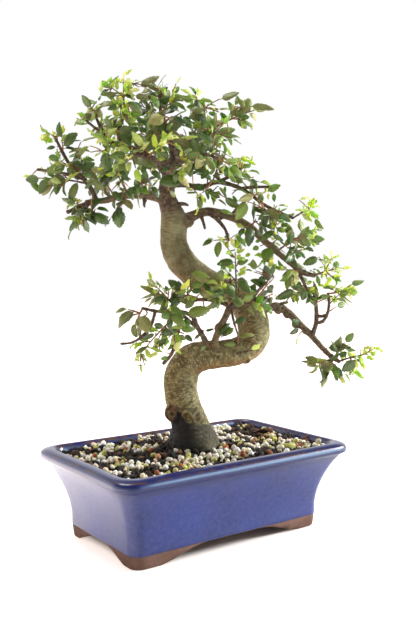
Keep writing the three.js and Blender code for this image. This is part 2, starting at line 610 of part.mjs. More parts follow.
// Leaves stand alternately left and right along a shoot, largest at its middle, with one at its tip
function dressShoot(curve, name, tone, roll) {
  const plane = new THREE.Vector3(roll() - 0.5, roll() - 0.5, roll() - 0.5).multiplyScalar(0.9);
  const middle = curve.getPoint(0.6);
  const heart = at(CROWN_HEART);
  plane.add(new THREE.Vector3(middle.x - heart.x, middle.y - heart.y, 0).normalize().multiplyScalar(0.7));
  plane.z += 0.55;
  const run = curve.getTangent(0.5).normalize();
  plane.addScaledVector(run, -plane.dot(run)).normalize();
  const length = curve.v0.distanceTo(curve.v2);
  const count = Math.max(1, Math.min(5, Math.round(length / LEAF_STEP)));
  const lastShare = Math.max(FIRST_LEAF, Math.min(0.88, 1 - LEAF_ROOM / length));
  const leaves = [];
  for (let i = 0; i <= count; i += 1) {
    const last = i === count;
    const share = last ? 1 : FIRST_LEAF + (lastShare - FIRST_LEAF) * (i + 0.5) / (count - 0.5);
    const swell = 0.8 + 0.25 * Math.sin(Math.PI * (i + 0.6) / (count + 0.4));
    const size = LEAF_LENGTHS[tone] * (last ? TIP_LEAF : swell);
    const hand = last ? 0 : i % 2 === 0 ? 1 : -1;
    const leaf = placeLeaf(curve, share, hand, plane, size, name, roll);
    if (!leaf) continue;
    hold(name, 'leaf', leafSpots(leaf), 0);
    leaves.push(leaf);
  }
  return { curve, plane, leaves, length };
}

function largestPiece(body) {
  return body.decompose().reduce((best, piece) => (piece.volume() > best.volume() ? piece : best));
}

const tree = new THREE.Group();
const clearedWood = woodSolid(GAP);
tree.add(mesh('pot', potSolid(), potClay));
tree.add(mesh('drain_screen_left', screenSolid(-1, 0), screenPlastic));
tree.add(mesh('drain_screen_right', screenSolid(1, 0), screenPlastic));
tree.add(mesh('soil', largestPiece(soilSolid(clearedWood)), soilMix));
tree.add(mesh('trunk', woodSolid(0), bark));

for (const [name, points] of Object.entries(LIMBS)) {
  const curve = limbCurve(points);
  const steps = Math.ceil(curve.getLength() / 3);
  for (let i = 0; i <= steps; i += 1) {
    hold(name, 'wood', [curve.getPoint(i / steps)], radiusAt(points, i / steps));
  }
}
for (const spray of SPRAYS) {
  for (const curve of sprayCurves(spray)) {
    for (let k = 2; k <= 10; k += 1) hold(spray[0], 'shoot', [curve.getPoint(k / 10)], SHOOT_RADIUS);
  }
}
SPRAYS.forEach((spray, order) => {
  const [name, , , tone] = spray;
  const roll = draws(LEAF_SEED + 101 * order);
  const shoots = sprayCurves(spray).map((curve) => dressShoot(curve, name, tone, roll));
  const whole = join(shoots.map(leafyShoot));
  const green = new THREE.MeshStandardMaterial({ color: TONES[tone], roughness: 0.45, metalness: 0 });
  tree.add(mesh(`spray_${name}`, largestPiece(whole.subtract(clearedWood)), green));
});

// The origin is under the middle of the whole plant, on the surface that the feet stand on
const extent = new THREE.Box3().setFromObject(tree);
tree.position.set(-(extent.min.x + extent.max.x) / 2, -(extent.min.y + extent.max.y) / 2, -extent.min.z);

export default tree;
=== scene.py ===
import math
import random

import bmesh
import bpy
from mathutils import Matrix, Vector, kdtree, noise


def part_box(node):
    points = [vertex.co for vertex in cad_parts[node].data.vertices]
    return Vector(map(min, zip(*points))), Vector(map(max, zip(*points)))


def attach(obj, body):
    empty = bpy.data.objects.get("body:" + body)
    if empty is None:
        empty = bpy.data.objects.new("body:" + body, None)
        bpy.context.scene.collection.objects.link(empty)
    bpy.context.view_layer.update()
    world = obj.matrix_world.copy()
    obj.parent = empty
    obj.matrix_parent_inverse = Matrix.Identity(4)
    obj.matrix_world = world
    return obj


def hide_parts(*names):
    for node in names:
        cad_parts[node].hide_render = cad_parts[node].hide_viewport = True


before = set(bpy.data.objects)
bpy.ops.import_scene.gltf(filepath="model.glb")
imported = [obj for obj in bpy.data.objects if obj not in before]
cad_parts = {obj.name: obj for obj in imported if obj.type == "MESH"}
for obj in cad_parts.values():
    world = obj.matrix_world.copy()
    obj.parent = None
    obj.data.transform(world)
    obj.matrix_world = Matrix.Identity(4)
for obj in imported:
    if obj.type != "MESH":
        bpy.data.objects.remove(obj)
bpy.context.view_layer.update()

# Viewpoint: a bonsai on a white table, seen from a little above its soil, 0.6 m away. The pot's
# middle is the point from which every place on the plant is measured.
MM = 0.001
pot_low, pot_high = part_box("pot")
POT_MIDDLE = Vector(((pot_low.x + pot_high.x) / 2, (pot_low.y + pot_high.y) / 2, 0))
VIEW_TURN = math.radians(36.2)
VIEW_DROP = math.radians(3.13)
CAMERA_PLACE = Vector((-339.7, -480.1, 199.5)) * MM
LENS = 44.77
SENSOR_WIDTH = 36


def link(name, data):
    """A new object in the scene, with the data that it shows."""
    shown = bpy.data.objects.new(name, data)
    bpy.context.scene.collection.objects.link(shown)
    return shown


camera_data = bpy.data.cameras.new("view")
camera_data.sensor_width = SENSOR_WIDTH
camera_data.lens = LENS
camera_data.clip_start = 0.01
camera = link("view", camera_data)
camera.location = POT_MIDDLE + CAMERA_PLACE
camera.rotation_euler = (math.pi / 2 - VIEW_DROP, 0, -VIEW_TURN)
bpy.context.scene.camera = camera
bpy.context.scene.view_settings.view_transform = "Standard"

# Studio: a white table top that runs out of sight, a bright paper wall behind the plant and a
# dimmer room in front of it. Soft lamps light the plant from the right and from overhead, and a
# low one on the right shows only as shine in the glaze.
FLOOR_SIZE = 8.0
FLOOR_DROP = 0.0002
FLOOR_GLOW = 0.75
PAPER_SHEEN = 2.8
POT_SHADE = (70, 42)
SHADE_EDGE = 9
WALL_GLOW = 1.0
WALL_SHEEN = 1.7
ROOM_GLOW = 0.25


def mesh_from(name, bm):
    mesh = bpy.data.meshes.new(name)
    bm.to_mesh(mesh)
    bm.free()
    return mesh


def from_bmesh(name, bm, *materials):
    mesh = mesh_from(name, bm)
    for material in materials:
        mesh.materials.append(material)
    mesh.shade_smooth()
    return link(name, mesh)


def stand_for(piece, slot, *nodes):
    """A finished piece rides on the plant and hides the solids it stands for. Its slot is not used."""
    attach(piece, "root")
    if nodes:
        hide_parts(*nodes)


def paint(red, green, blue):
    """Linear colour from the 0 to 255 values of a paint chart."""
    return tuple((value / 255) ** 2.2 for value in (red, green, blue)) + (1,)


def new_material(name):
    material = bpy.data.materials.new(name)
    material.use_nodes = True
    tree = material.node_tree
    return material, tree, tree.nodes["Principled BSDF"]


def node(tree, kind, **settings):
    made = tree.nodes.new(kind)
    for key, value in settings.items():
        if key in made.inputs:
            made.inputs[key].default_value = value
        else:
            setattr(made, key, value)
    return made


def wire(tree, *pairs):
    for start, end in pairs:
        tree.links.new(start, end)


def feed(tree, socket, value):
    """Sets a plain value on the socket, or wires another socket to it."""
    if isinstance(value, (int, float, tuple)):
        socket.default_value = value
    else:
        wire(tree, (value, socket))


def noise_on(tree, place, scale, detail=3, roughness=0.5):
    """A noise value that reads the place socket."""
    made = node(tree, "ShaderNodeTexNoise", Scale=scale, Detail=detail, Roughness=roughness)
    wire(tree, (place, made.inputs["Vector"]))
    return made.outputs["Fac"]


def between(tree, value, low, high, floor=0.0, top=1.0):
    """The value spread from low..high to floor..top, and clamped."""
    ends = {"From Min": low, "From Max": high, "To Min": floor, "To Max": top}
    made = node(tree, "ShaderNodeMapRange", **ends)
    wire(tree, (value, made.inputs["Value"]))
    return made.outputs["Result"]


def maths(tree, operation, first, second):
    made = node(tree, "ShaderNodeMath", operation=operation)
    feed(tree, made.inputs[0], first)
    feed(tree, made.inputs[1], second)
    return made.outputs["Value"]


def times(tree, first, second):
    return maths(tree, "MULTIPLY", first, second)


def blend_paint(tree, share, under, over):
    """Colour `over` laid on colour `under` by the share socket."""
    made = node(tree, "ShaderNodeMix", data_type="RGBA")
    for socket, value in ((0, share), (6, under), (7, over)):
        feed(tree, made.inputs[socket], value)
    return made.outputs[2]


def finish(tree, shader, colour, roughness, height, strength, distance):
    """Gives a material its colour, its roughness and the relief that the height socket draws."""
    feed(tree, shader.inputs["Base Color"], colour)
    feed(tree, shader.inputs["Roughness"], roughness)
    bump = node(tree, "ShaderNodeBump", Strength=strength, Distance=distance)
    wire(tree, (height, bump.inputs["Height"]), (bump.outputs["Normal"], shader.inputs["Normal"]))


def on_surface(tree):
    return node(tree, "ShaderNodeTexCoord").outputs["Object"]


grain_group = bpy.data.node_groups.new("grain", "ShaderNodeTree")
for way, sockets in (
        ("INPUT", {"Place": "Vector", "Scale": "Float", "Start": "Float", "End": "Float", "Most": "Float",
                   "Under": "Color", "Over": "Color"}),
        ("OUTPUT", {"Paint": "Color", "Grain": "Float"})):
    for name, kind in sockets.items():
        grain_group.interface.new_socket(name, in_out=way, socket_type="NodeSocket" + kind)
given = grain_group.nodes.new("NodeGroupInput").outputs
grains = node(grain_group, "ShaderNodeTexNoise", Detail=4, Roughness=0.6)
spread = node(grain_group, "ShaderNodeMapRange")
mixed = node(grain_group, "ShaderNodeMix", data_type="RGBA")
result = grain_group.nodes.new("NodeGroupOutput")
wire(grain_group,
     (given["Place"], grains.inputs["Vector"]), (given["Scale"], grains.inputs["Scale"]),
     (grains.outputs["Fac"], spread.inputs["Value"]), (given["Start"], spread.inputs["From Min"]),
     (given["End"], spread.inputs["From Max"]), (given["Most"], spread.inputs["To Max"]),
     (spread.outputs["Result"], mixed.inputs[0]), (given["Under"], mixed.inputs[6]),
     (given["Over"], mixed.inputs[7]), (mixed.outputs[2], result.inputs["Paint"]),
     (grains.outputs["Fac"], result.inputs["Grain"]))


def grain(tree, place, scale, start, end, most, under, over):
    """Grains of the paint `over` strewn on `under`: the mixed colour, and the grains' own height."""
    made = node(tree, "ShaderNodeGroup", node_tree=grain_group)
    for socket, value in zip(made.inputs, (place, scale, start, end, most, under, over)):
        feed(tree, socket, value)
    return made.outputs["Paint"], made.outputs["Grain"]


def attribute(tree, name, output="Fac"):
    return node(tree, "ShaderNodeAttribute", attribute_name=name).outputs[output]


table_paper, tree, shader = new_material("table_paper")
shader.inputs["Base Color"].default_value = paint(238, 238, 238)
shader.inputs["Roughness"].default_value = 0.8
# Warm tint of the paper's glow, which colours its painted reflection in the glaze
shader.inputs["Emission Color"].default_value = (1, 0.86, 0.78, 1)
# The paper glows, as painted light: to the camera it glows white everywhere but in a box round the
# pot's foot, where the glow fades out as its painted shadow, and to the glaze it glows warm and
# brightest behind on the left, as a painted reflection
ray = node(tree, "ShaderNodeLightPath").outputs
spot = on_surface(tree)
toward_lit = node(tree, "ShaderNodeVectorMath", operation="DOT_PRODUCT")
toward_lit.inputs[1].default_value = (-0.8, 0.6, 0)
from_pot = node(tree, "ShaderNodeVectorMath", operation="SUBTRACT")
from_pot.inputs[1].default_value = POT_MIDDLE
sides = node(tree, "ShaderNodeSeparateXYZ")
wire(tree, (spot, toward_lit.inputs[0]), (spot, from_pot.inputs[0]),
     (from_pot.outputs["Vector"], sides.inputs[0]))
sheen = between(tree, toward_lit.outputs["Value"], 0.02, 0.24, 0, PAPER_SHEEN)
past_x, past_y = (maths(tree, "SUBTRACT", maths(tree, "ABSOLUTE", sides.outputs[side], 0), reach * MM)
                  for side, reach in zip("XY", POT_SHADE))
unshaded = between(tree, maths(tree, "MAXIMUM", past_x, past_y), 0, SHADE_EDGE * MM, 0, FLOOR_GLOW)
paper_glow = maths(tree, "ADD", times(tree, ray["Is Glossy Ray"], sheen),
                   times(tree, ray["Is Camera Ray"], unshaded))
wire(tree, (paper_glow, shader.inputs["Emission Strength"]))
bm = bmesh.new()
bmesh.ops.create_grid(bm, x_segments=1, y_segments=1, size=FLOOR_SIZE)
floor = from_bmesh("table_top", bm, table_paper)
floor.location.z = -FLOOR_DROP

# Light comes from all round, most of it from the wall. The glaze mirrors a wall that is brighter
# still, up to the height where its paper ends, and the camera sees plain white.
world = bpy.data.worlds.new("studio")
bpy.context.scene.world = world
world.use_nodes = True
sky = world.node_tree
background = sky.nodes["Background"]
ray = node(sky, "ShaderNodeLightPath").outputs
heading = node(sky, "ShaderNodeTexCoord").outputs["Generated"]
toward_wall = node(sky, "ShaderNodeVectorMath", operation="DOT_PRODUCT")
toward_wall.inputs[1].default_value = (math.sin(VIEW_TURN) * 0.6 - 0.5, math.cos(VIEW_TURN), 0.35)
level = node(sky, "ShaderNodeSeparateXYZ")
wire(sky, (heading, toward_wall.inputs[0]), (heading, level.inputs[0]))
strength = between(sky, toward_wall.outputs["Value"], -0.6, 0.9, ROOM_GLOW, WALL_GLOW)
mirrored = times(sky, strength, between(sky, level.outputs["Z"], 0.4, 0.52, WALL_SHEEN, ROOM_GLOW))
for share, seen_strength in ((ray["Is Glossy Ray"], mirrored), (ray["Is Camera Ray"], 1.0)):
    mixed = node(sky, "ShaderNodeMix", data_type="FLOAT")
    for socket, value in (("Factor", share), ("A", strength), ("B", seen_strength)):
        feed(sky, mixed.inputs[socket], value)
    strength = mixed.outputs["Result"]
wire(sky, (strength, background.inputs["Strength"]))
background.inputs["Color"].default_value = (1, 1, 1, 1)

for name, place, aim, size, power, tint in (
        ("lamp_right", (1.3, -0.62, 0.66), (0, 0, 0.2), 0.4, 34, (1.0, 0.985, 0.95)),
        ("lamp_top", (-0.2, 0.5, 1.6), (0, 0, 0.2), 0.8, 14, (1.0, 0.99, 0.98)),
        ("sheen_right", (0.84, -1.02, 0.24), (0, 0, 0.06), 0.75, 13, (0.55, 0.85, 1.0))):
    lamp_data = bpy.data.lights.new(name, "AREA")
    lamp_data.shape = "DISK"
    lamp_data.size = size
    lamp_data.energy = power
    lamp_data.color = tint
    lamp = link(name, lamp_data)
    lamp.location = place
    lamp.rotation_euler = (Vector(aim) - Vector(place)).to_track_quat("-Z", "Y").to_euler()
    lamp.visible_diffuse = name != "sheen_right"

# Pot: thrown-out rectangle of stoneware with concave walls and a banded lip, dipped in a cobalt
# glaze that runs thick under the lip and breaks brown on its edges. The feet stay bare clay.
RIM_LENGTH = 205
RIM_WIDTH = 134
RIM_OVERHANG = 18
RIM_CORNER = 14
BODY_CORNER = 10
FOOT_HEIGHT = 9
FOOT_DEPTH = 13
LONG_SIDE_ARCH = 52
LONG_SIDE_SLOPE = 39
SHORT_SIDE_ARCH = 20
SHORT_SIDE_SLOPE = 26
DRAIN_HOLE_RADIUS = 7
DRAIN_HOLE_SPACING = 88
DRILL_DEPTH = 30
CLAY_TOP = 9.25
GLAZE_HEM = (9.1, 11)
LEAST_CORNER = 1.5
CORNER_STEPS = 9
LONG_STEPS = 16
SHORT_STEPS = 10
ARCH_STEPS = 12

# Sections from the foot line up the outside, over the lip and down the inside: how far out from
# the foot line, how high, and how thin the glaze is there
POT_SECTIONS = [
    (-14, 9.0, 0), (-1.4, 9.0, 0.3), (-0.5, 9.3, 0.9), (-0.05, 10.1, 0.25), (0, 12, 0), (0.1, 18, 0),
    (0.7, 23, 0), (1.6, 28, 0), (2.8, 32.5, 0), (4.4, 37.5, 0), (6.4, 42.5, 0), (8.6, 47.2, 0),
    (11, 51.5, 0), (13, 54.4, 0), (14.5, 56.6, 0), (15.5, 57.8, 0), (16.4, 58.4, 0), (17.4, 58.9, 0.2),
    (18, 59.8, 0.1), (18.1, 61.2, 0), (17.9, 62.6, 0), (17.4, 63.8, 0.3), (16.6, 64.6, 0.9),
    (15.2, 65.3, 0.4), (13.2, 65.8, 0), (11, 66.1, 0.1), (9.8, 65.9, 0.7), (8.9, 65.1, 1),
    (8.2, 63.9, 0.4), (7.6, 61, 0), (6.6, 57, 0), (3.5, 50, 0), (-1.5, 38, 0), (-4.5, 28, 0),
    (-6.2, 19, 0), (-9, 16.5, 0),
]

# Sections once round the ring of clay that the feet are cut from: how far out, and how high
FOOT_SECTIONS = [
    (-2.4, 0), (-1.8, 0.6), (-1.4, 3), (-1.0, 6), (-0.6, 9), (-0.8, 9.6), (-12.4, 9.6),
    (-FOOT_DEPTH, 9), (-FOOT_DEPTH, 3), (-12.6, 0.6), (-12, 0),
]


def in_metres(place):
    return POT_MIDDLE + place * MM


def corner_ring(bm, reach, height):
    """One loop round the pot, `reach` outside its foot line."""
    corner = BODY_CORNER + reach
    if reach > 0:
        corner = BODY_CORNER + (RIM_CORNER - BODY_CORNER) * reach / RIM_OVERHANG
    corner = max(LEAST_CORNER, corner)
    half_x = RIM_LENGTH / 2 - RIM_OVERHANG + reach - corner
    half_y = RIM_WIDTH / 2 - RIM_OVERHANG + reach - corner
    spots = []
    for quarter, (sx, sy) in enumerate([(1, 1), (-1, 1), (-1, -1), (1, -1)]):
        for step in range(CORNER_STEPS + 1):
            angle = (quarter + step / CORNER_STEPS) * math.pi / 2
            spots.append((sx * half_x + corner * math.cos(angle), sy * half_y + corner * math.sin(angle)))
        x, y = spots[-1]
        steps = SHORT_STEPS if quarter % 2 else LONG_STEPS
        for step in range(1, steps):
            share = step / steps
            moved = (0, -2 * half_y * sy * share) if quarter % 2 else (-2 * half_x * sx * share, 0)
            spots.append((x + moved[0], y + moved[1]))
    loop = [bm.verts.new(in_metres(Vector((x, y, height)))) for x, y in spots]
    return loop, [bm.edges.new((a, b)) for a, b in zip(loop, loop[1:] + loop[:1])]


def waver(place, size, amount, seed=0):
    """Smooth unevenness, as a length of up to about `amount`."""
    return noise.noise(place / size + Vector((seed, 0, 0))) * amount


def cut(piece, cutter):
    """Takes the cutter's shape out of the piece, and the cutter away."""
    hole = piece.modifiers.new("hole", "BOOLEAN")
    hole.operation = "DIFFERENCE"
    hole.solver = "EXACT"
    hole.object = cutter
    bpy.context.view_layer.objects.active = piece
    bpy.ops.object.modifier_apply(modifier="hole")
    bpy.data.objects.remove(cutter)


pot_glaze, tree, shader = new_material("pot_glaze")
pot_clay, clay_tree, clay_shader = new_material("pot_clay")

bm = bmesh.new()
thin_layer = bm.verts.layers.float.new("thin")
rings = []
for reach, height, thin in POT_SECTIONS:
    loop, edges = corner_ring(bm, reach, height)
    for vert in loop:
        vert[thin_layer] = thin
        vert.co.z += waver(vert.co, 0.02, 0.0004, 3) if GLAZE_HEM[0] < height < GLAZE_HEM[1] else 0
    rings.append(edges)
for lower, upper in zip(rings, rings[1:]):
    bmesh.ops.bridge_loops(bm, edges=lower + upper)
for end in (rings[0], rings[-1]):
    bmesh.ops.contextual_create(bm, geom=end)
for vert in bm.verts:
    outward = Vector((vert.co.x - POT_MIDDLE.x, vert.co.y - POT_MIDDLE.y, 0)).normalized()
    vert.co += outward * waver(vert.co, 0.045, 0.0005)
bmesh.ops.recalc_face_normals(bm, faces=bm.faces)
for face in bm.faces:
    face.material_index = 1 if face.calc_center_median().z < CLAY_TOP * MM else 0
pot = from_bmesh("pot_shell", bm, pot_glaze, pot_clay)

for side in (-1, 1):
    drill = bmesh.new()
    place = Matrix.Translation(in_metres(Vector((side * DRAIN_HOLE_SPACING / 2, 0, 12))))
    bmesh.ops.create_cone(drill, cap_ends=True, segments=40, radius1=DRAIN_HOLE_RADIUS * MM,
                          radius2=DRAIN_HOLE_RADIUS * MM, depth=DRILL_DEPTH * MM, matrix=place)
    cut(pot, from_bmesh("drill", drill, pot_clay))

bm = bmesh.new()
rings = [corner_ring(bm, reach, height)[1] for reach, height in FOOT_SECTIONS]
for lower, upper in zip(rings, rings[1:] + rings[:1]):
    bmesh.ops.bridge_loops(bm, edges=lower + upper)
bmesh.ops.recalc_face_normals(bm, faces=bm.faces)
feet = from_bmesh("pot_feet", bm, pot_clay)
for width, slope, turned in (
        (LONG_SIDE_ARCH, LONG_SIDE_SLOPE, 0),
        (SHORT_SIDE_ARCH, SHORT_SIDE_SLOPE, math.pi / 2)):
    arch = bmesh.new()
    outline = [(width / 2 + slope + 1, -1)]
    for step in range(ARCH_STEPS + 1):
        share = step / ARCH_STEPS
        rise = share ** 1.7 * (2.4 - 1.4 * share) * FOOT_HEIGHT - 0.1 * (1 - share)
        outline.append((width / 2 + slope * (1 - share), min(rise, FOOT_HEIGHT + 0.01)))
    outline.append((width / 2, 12))
    outline += [(-x, z) for x, z in outline[::-1]]
    face = arch.faces.new([arch.verts.new((x * MM, -RIM_LENGTH / 2 * MM, z * MM)) for x, z in outline])
    deeper = bmesh.ops.extrude_face_region(arch, geom=[face])["geom"]
    far_end = [part for part in deeper if isinstance(part, bmesh.types.BMVert)]
    bmesh.ops.translate(arch, vec=(0, RIM_LENGTH * MM, 0), verts=far_end)
    bmesh.ops.rotate(arch, verts=arch.verts, cent=(0, 0, 0), matrix=Matrix.Rotation(turned, 3, "Z"))
    bmesh.ops.translate(arch, vec=POT_MIDDLE, verts=arch.verts)
    bmesh.ops.recalc_face_normals(arch, faces=arch.faces)
    cut(feet, from_bmesh("arch", arch, pot_clay))

# Glaze: deep cobalt where it lies thick, violet mottling, dark pinholes, and brown where it thins
# over an edge
spot = on_surface(tree)
cloud = noise_on(tree, spot, 30, 4, 0.55)
fleck = noise_on(tree, spot, 330, 3)
specks = node(tree, "ShaderNodeTexVoronoi", Scale=42.0)
wire(tree, (spot, specks.inputs["Vector"]))
height = node(tree, "ShaderNodeSeparateXYZ")
wire(tree, (spot, height.inputs[0]))
cobalt = blend_paint(tree, between(tree, cloud, 0.1, 0.9), paint(18, 34, 88), paint(42, 61, 144))
pale = blend_paint(tree, between(tree, fleck, 0.35, 0.7, 0, 0.3), cobalt, paint(88, 84, 150))
pooled = between(tree, height.outputs["Z"], 0.051, 0.0585, 0, 0.95)
deep = blend_paint(tree, pooled, pale, paint(14, 26, 88))
pinholes = blend_paint(tree, between(tree, specks.outputs["Distance"], 0.045, 0.025), deep, paint(20, 16, 30))
edge = times(tree, attribute(tree, "thin"), noise_on(tree, spot, 160, 3))
broken = blend_paint(tree, between(tree, edge, 0.3, 0.5), pinholes, paint(84, 56, 50))
gloss = between(tree, cloud, 0.2, 0.8, 0.29, 0.4)
finish(tree, shader, broken, gloss, noise_on(tree, spot, 70, 2), 0.2, 0.0005)
shader.inputs["IOR"].default_value = 1.55
shader.inputs["Coat Weight"].default_value = 0.35
shader.inputs["Coat Roughness"].default_value = 0.04

# Bare clay of the feet and the underside: brown stoneware with sand in it
spot = on_surface(clay_tree)
fired, _ = grain(clay_tree, spot, 60, 0.35, 0.7, 1, paint(110, 78, 64), paint(138, 102, 86))
gritty, sand = grain(clay_tree, spot, 1100, 0.6, 0.75, 0.6, fired, paint(68, 44, 36))
finish(clay_tree, clay_shader, gritty, 0.85, sand, 0.5, 0.0003)

stand_for(pot, "glazed_pot", "pot")
stand_for(feet, "glazed_pot", "pot")

# Trunk and branches: one grown piece, trained in an S-bend, with grey-olive bark in small plates,
# smoother above, coppery underneath and painted paler on the side towards the lamp, as painted
# light. It is scarred where shoots were cut, purple-brown on the branches, and dark where it meets
# the soil, partly a black stain and partly painted shade that stays lower on the lit right flank.
TREE_TURN = math.radians(36.2)
VOXEL = 0.8
RING_STEP = 1.6
FINE_WOOD = 1.9
TRUNK_SIDES = 40
LIMB_SIDES = 16
TWIG_SIDES = 8
RUN_APART = 1000.0

# Points along each limb: across the bend, back, up, and the radius there
LIMBS = {
    "trunk": [
        (0, 0, 47, 17), (-1, 0, 63, 20), (-3, -1, 72, 17.2), (-4.6, -1, 82, 14), (-8.7, -3, 96, 12.2),
        (-11.3, -4, 108, 12.1), (-11.1, -5, 117, 12.5), (-9, -6, 125, 12.3), (-3.2, -7, 131.6, 11.6),
        (7, -7, 134.4, 11), (18.5, -7, 135.8, 10.7), (31, -6, 138, 10.4), (40, -4, 142, 11),
        (44.4, -2, 150, 12.3), (43.6, 0, 160, 12.5), (39.7, 2, 169, 11.5), (33.7, 4, 176.5, 10.6),
        (24.6, 6, 182.5, 10), (12.2, 7, 188.6, 10.4), (0.4, 8, 195.8, 10.7), (-9.4, 8, 203.8, 10.6),
        (-15, 8, 213, 10.3), (-17, 7, 222, 9.9), (-16.8, 6, 231, 9.9), (-17, 5, 240, 9.2),
        (-20, 4, 249, 7.6), (-22, 3, 257, 6.8), (-21, 2, 266, 5.8),
    ],
    "leader": [
        (-21.5, 2, 262, 5.6), (-19, 2, 275, 5), (-14, 4, 285, 4.2), (-7, 6, 293, 3.3),
        (2, 8, 298, 2.7), (9, 8, 302, 2.1), (16, 8, 308, 1.5),
    ],
    "left": [
        (-19, 3, 252, 5), (-34, 0, 255.5, 3.9), (-46, -4, 255.5, 3.1), (-57, -6, 254, 2.8),
        (-66, -8, 251, 2.5), (-74, -8, 250, 2.1), (-81, -6, 250, 1.5),
    ],
    "arch": [
        (-14, 5, 233, 5.4), (0, 10, 241.5, 4), (9, 12, 244, 3.6), (20, 10, 242, 3.5), (31, 6, 238, 3.3),
        (42, 2, 231, 3), (51, 0, 222, 2.7), (61, -2, 213, 2.5), (72, -4, 204, 2.3), (82, -4, 197, 2.1),
        (89, -4, 195, 1.5),
    ],
    "low": [
        (42, 5, 164, 4.4), (57, 13, 170, 3.2), (64, 16, 171, 3.1), (72, 16, 166, 3), (80, 14, 158, 2.7),
        (89, 12, 149, 2.5), (97, 10, 140, 2.3), (104, 8, 133, 2.1), (110, 6, 129, 1.5),
    ],
    "low_up": [
        (90, 12, 148, 2), (93, 11, 158, 1.7), (93, 10, 169, 1.5), (92, 9, 177, 1.4), (90, 8, 184, 1.1),
    ],
    "low_up2": [
        (93, 11, 158, 1.4), (98, 8, 160, 1.3), (101, 6, 166, 1.2), (102, 5, 174, 1.1), (101, 4, 181, 1),
    ],
    "front": [
        (14, -9, 138, 3.4), (15, -20, 149, 2.6), (18, -24, 156, 2.9), (22, -26, 165, 2.4), (26, -26, 172, 3),
        (33, -24, 175, 2.9), (41, -22, 176, 2.6), (48, -20, 178, 2.3), (54, -19, 177, 1.8),
    ],
    "front_arm": [(26, -26, 173, 2), (15, -28, 177, 1.4), (5, -30, 178, 1.3), (-4, -32, 177, 1)],
    "vee": [
        (10, -8, 139, 3.2), (6, -20, 150, 2.1), (1, -26, 159, 1.8), (-2, -30, 166, 1.6), (-9, -32, 169, 1.4),
        (-18, -34, 169, 1.2), (-28, -36, 170, 1.1), (-37, -38, 172, 1),
    ],
    "right_up": [
        (-21, 2, 263, 3), (-11, 6, 264, 2.3), (-1, 8, 263, 2), (7, 8, 263, 1.8), (16, 8, 266, 1.6),
        (34, 4, 261, 1.4), (54, 0, 247, 1.2), (73, -4, 238, 1),
    ],
    "apex": [
        (-16, 3, 280, 3.4), (-18, -3, 293, 2.6), (-22, -6, 304, 2.1), (-25, -6, 314, 1.6),
        (-27, -4, 323, 1.1),
    ],
    "top_left": [
        (-20, 2, 270, 3.8), (-30, -8, 280, 2.8), (-41, -14, 286, 2.4), (-53, -18, 289, 2),
        (-63, -20, 293, 1.6), (-71, -20, 308, 1.1),
    ],
    "peak": [(-52, -18, 288, 1.9), (-56, -16, 299, 1.4), (-53, -14, 309, 1.2), (-52, -12, 318, 1)],
    "back_left": [(-21, 3, 272, 3.4), (-26, 22, 286, 2.4), (-34, 38, 299, 1.8), (-41, 50, 311, 1.1)],
    "back_right": [(-17, 4, 277, 3.2), (-8, 22, 286, 2.2), (3, 36, 296, 1.7), (14, 46, 305, 1.1)],
    "front_l": [(-20, 0, 269, 3.2), (-26, -18, 275, 2.2), (-33, -30, 279, 1.7), (-41, -38, 280, 1.1)],
    "front_r": [
        (-17, 2, 278, 3), (-8, -16, 279, 2), (0, -26, 281, 1.5), (9, -32, 281, 1.2), (16, -34, 278, 1),
    ],
    "l_up": [
        (-73, -8, 249, 2.2), (-77, -10, 259, 1.7), (-82, -12, 266, 1.6), (-87, -14, 271, 1.4),
        (-93, -14, 278, 1.3), (-102, -14, 295, 1),
    ],
    "under": [(12, 11, 242, 2), (19, 8, 235, 1.3), (23, 6, 229, 1.1), (25, 5, 222, 1)],
    "neck_stub": [(-17, 3, 248, 2.2), (-9, 1, 249, 1.3), (-6, 0, 248, 1)],
    "low_stub": [(62, 15, 170, 2), (68, 15, 173.5, 1.2), (71, 15, 174, 0.9)],
}

# Healed cuts and swellings: across the bend, back, up, radius
KNOTS = [
    (-17.3, -9.5, 91, 5.4), (-17.5, -9.8, 96, 4.4), (-4, -10.4, 91.5, 6.9), (38.5, -10, 133.6, 4.2),
    (64, 15, 167.5, 3), (18, -25, 157, 4), (-6.4, 6, 236.6, 5.4), (-0.6, -7, 124.6, 5.6),
    (78, 14, 157, 3.6), (71, 16, 164.6, 3.2), (85, 13, 151.6, 2.8),
]

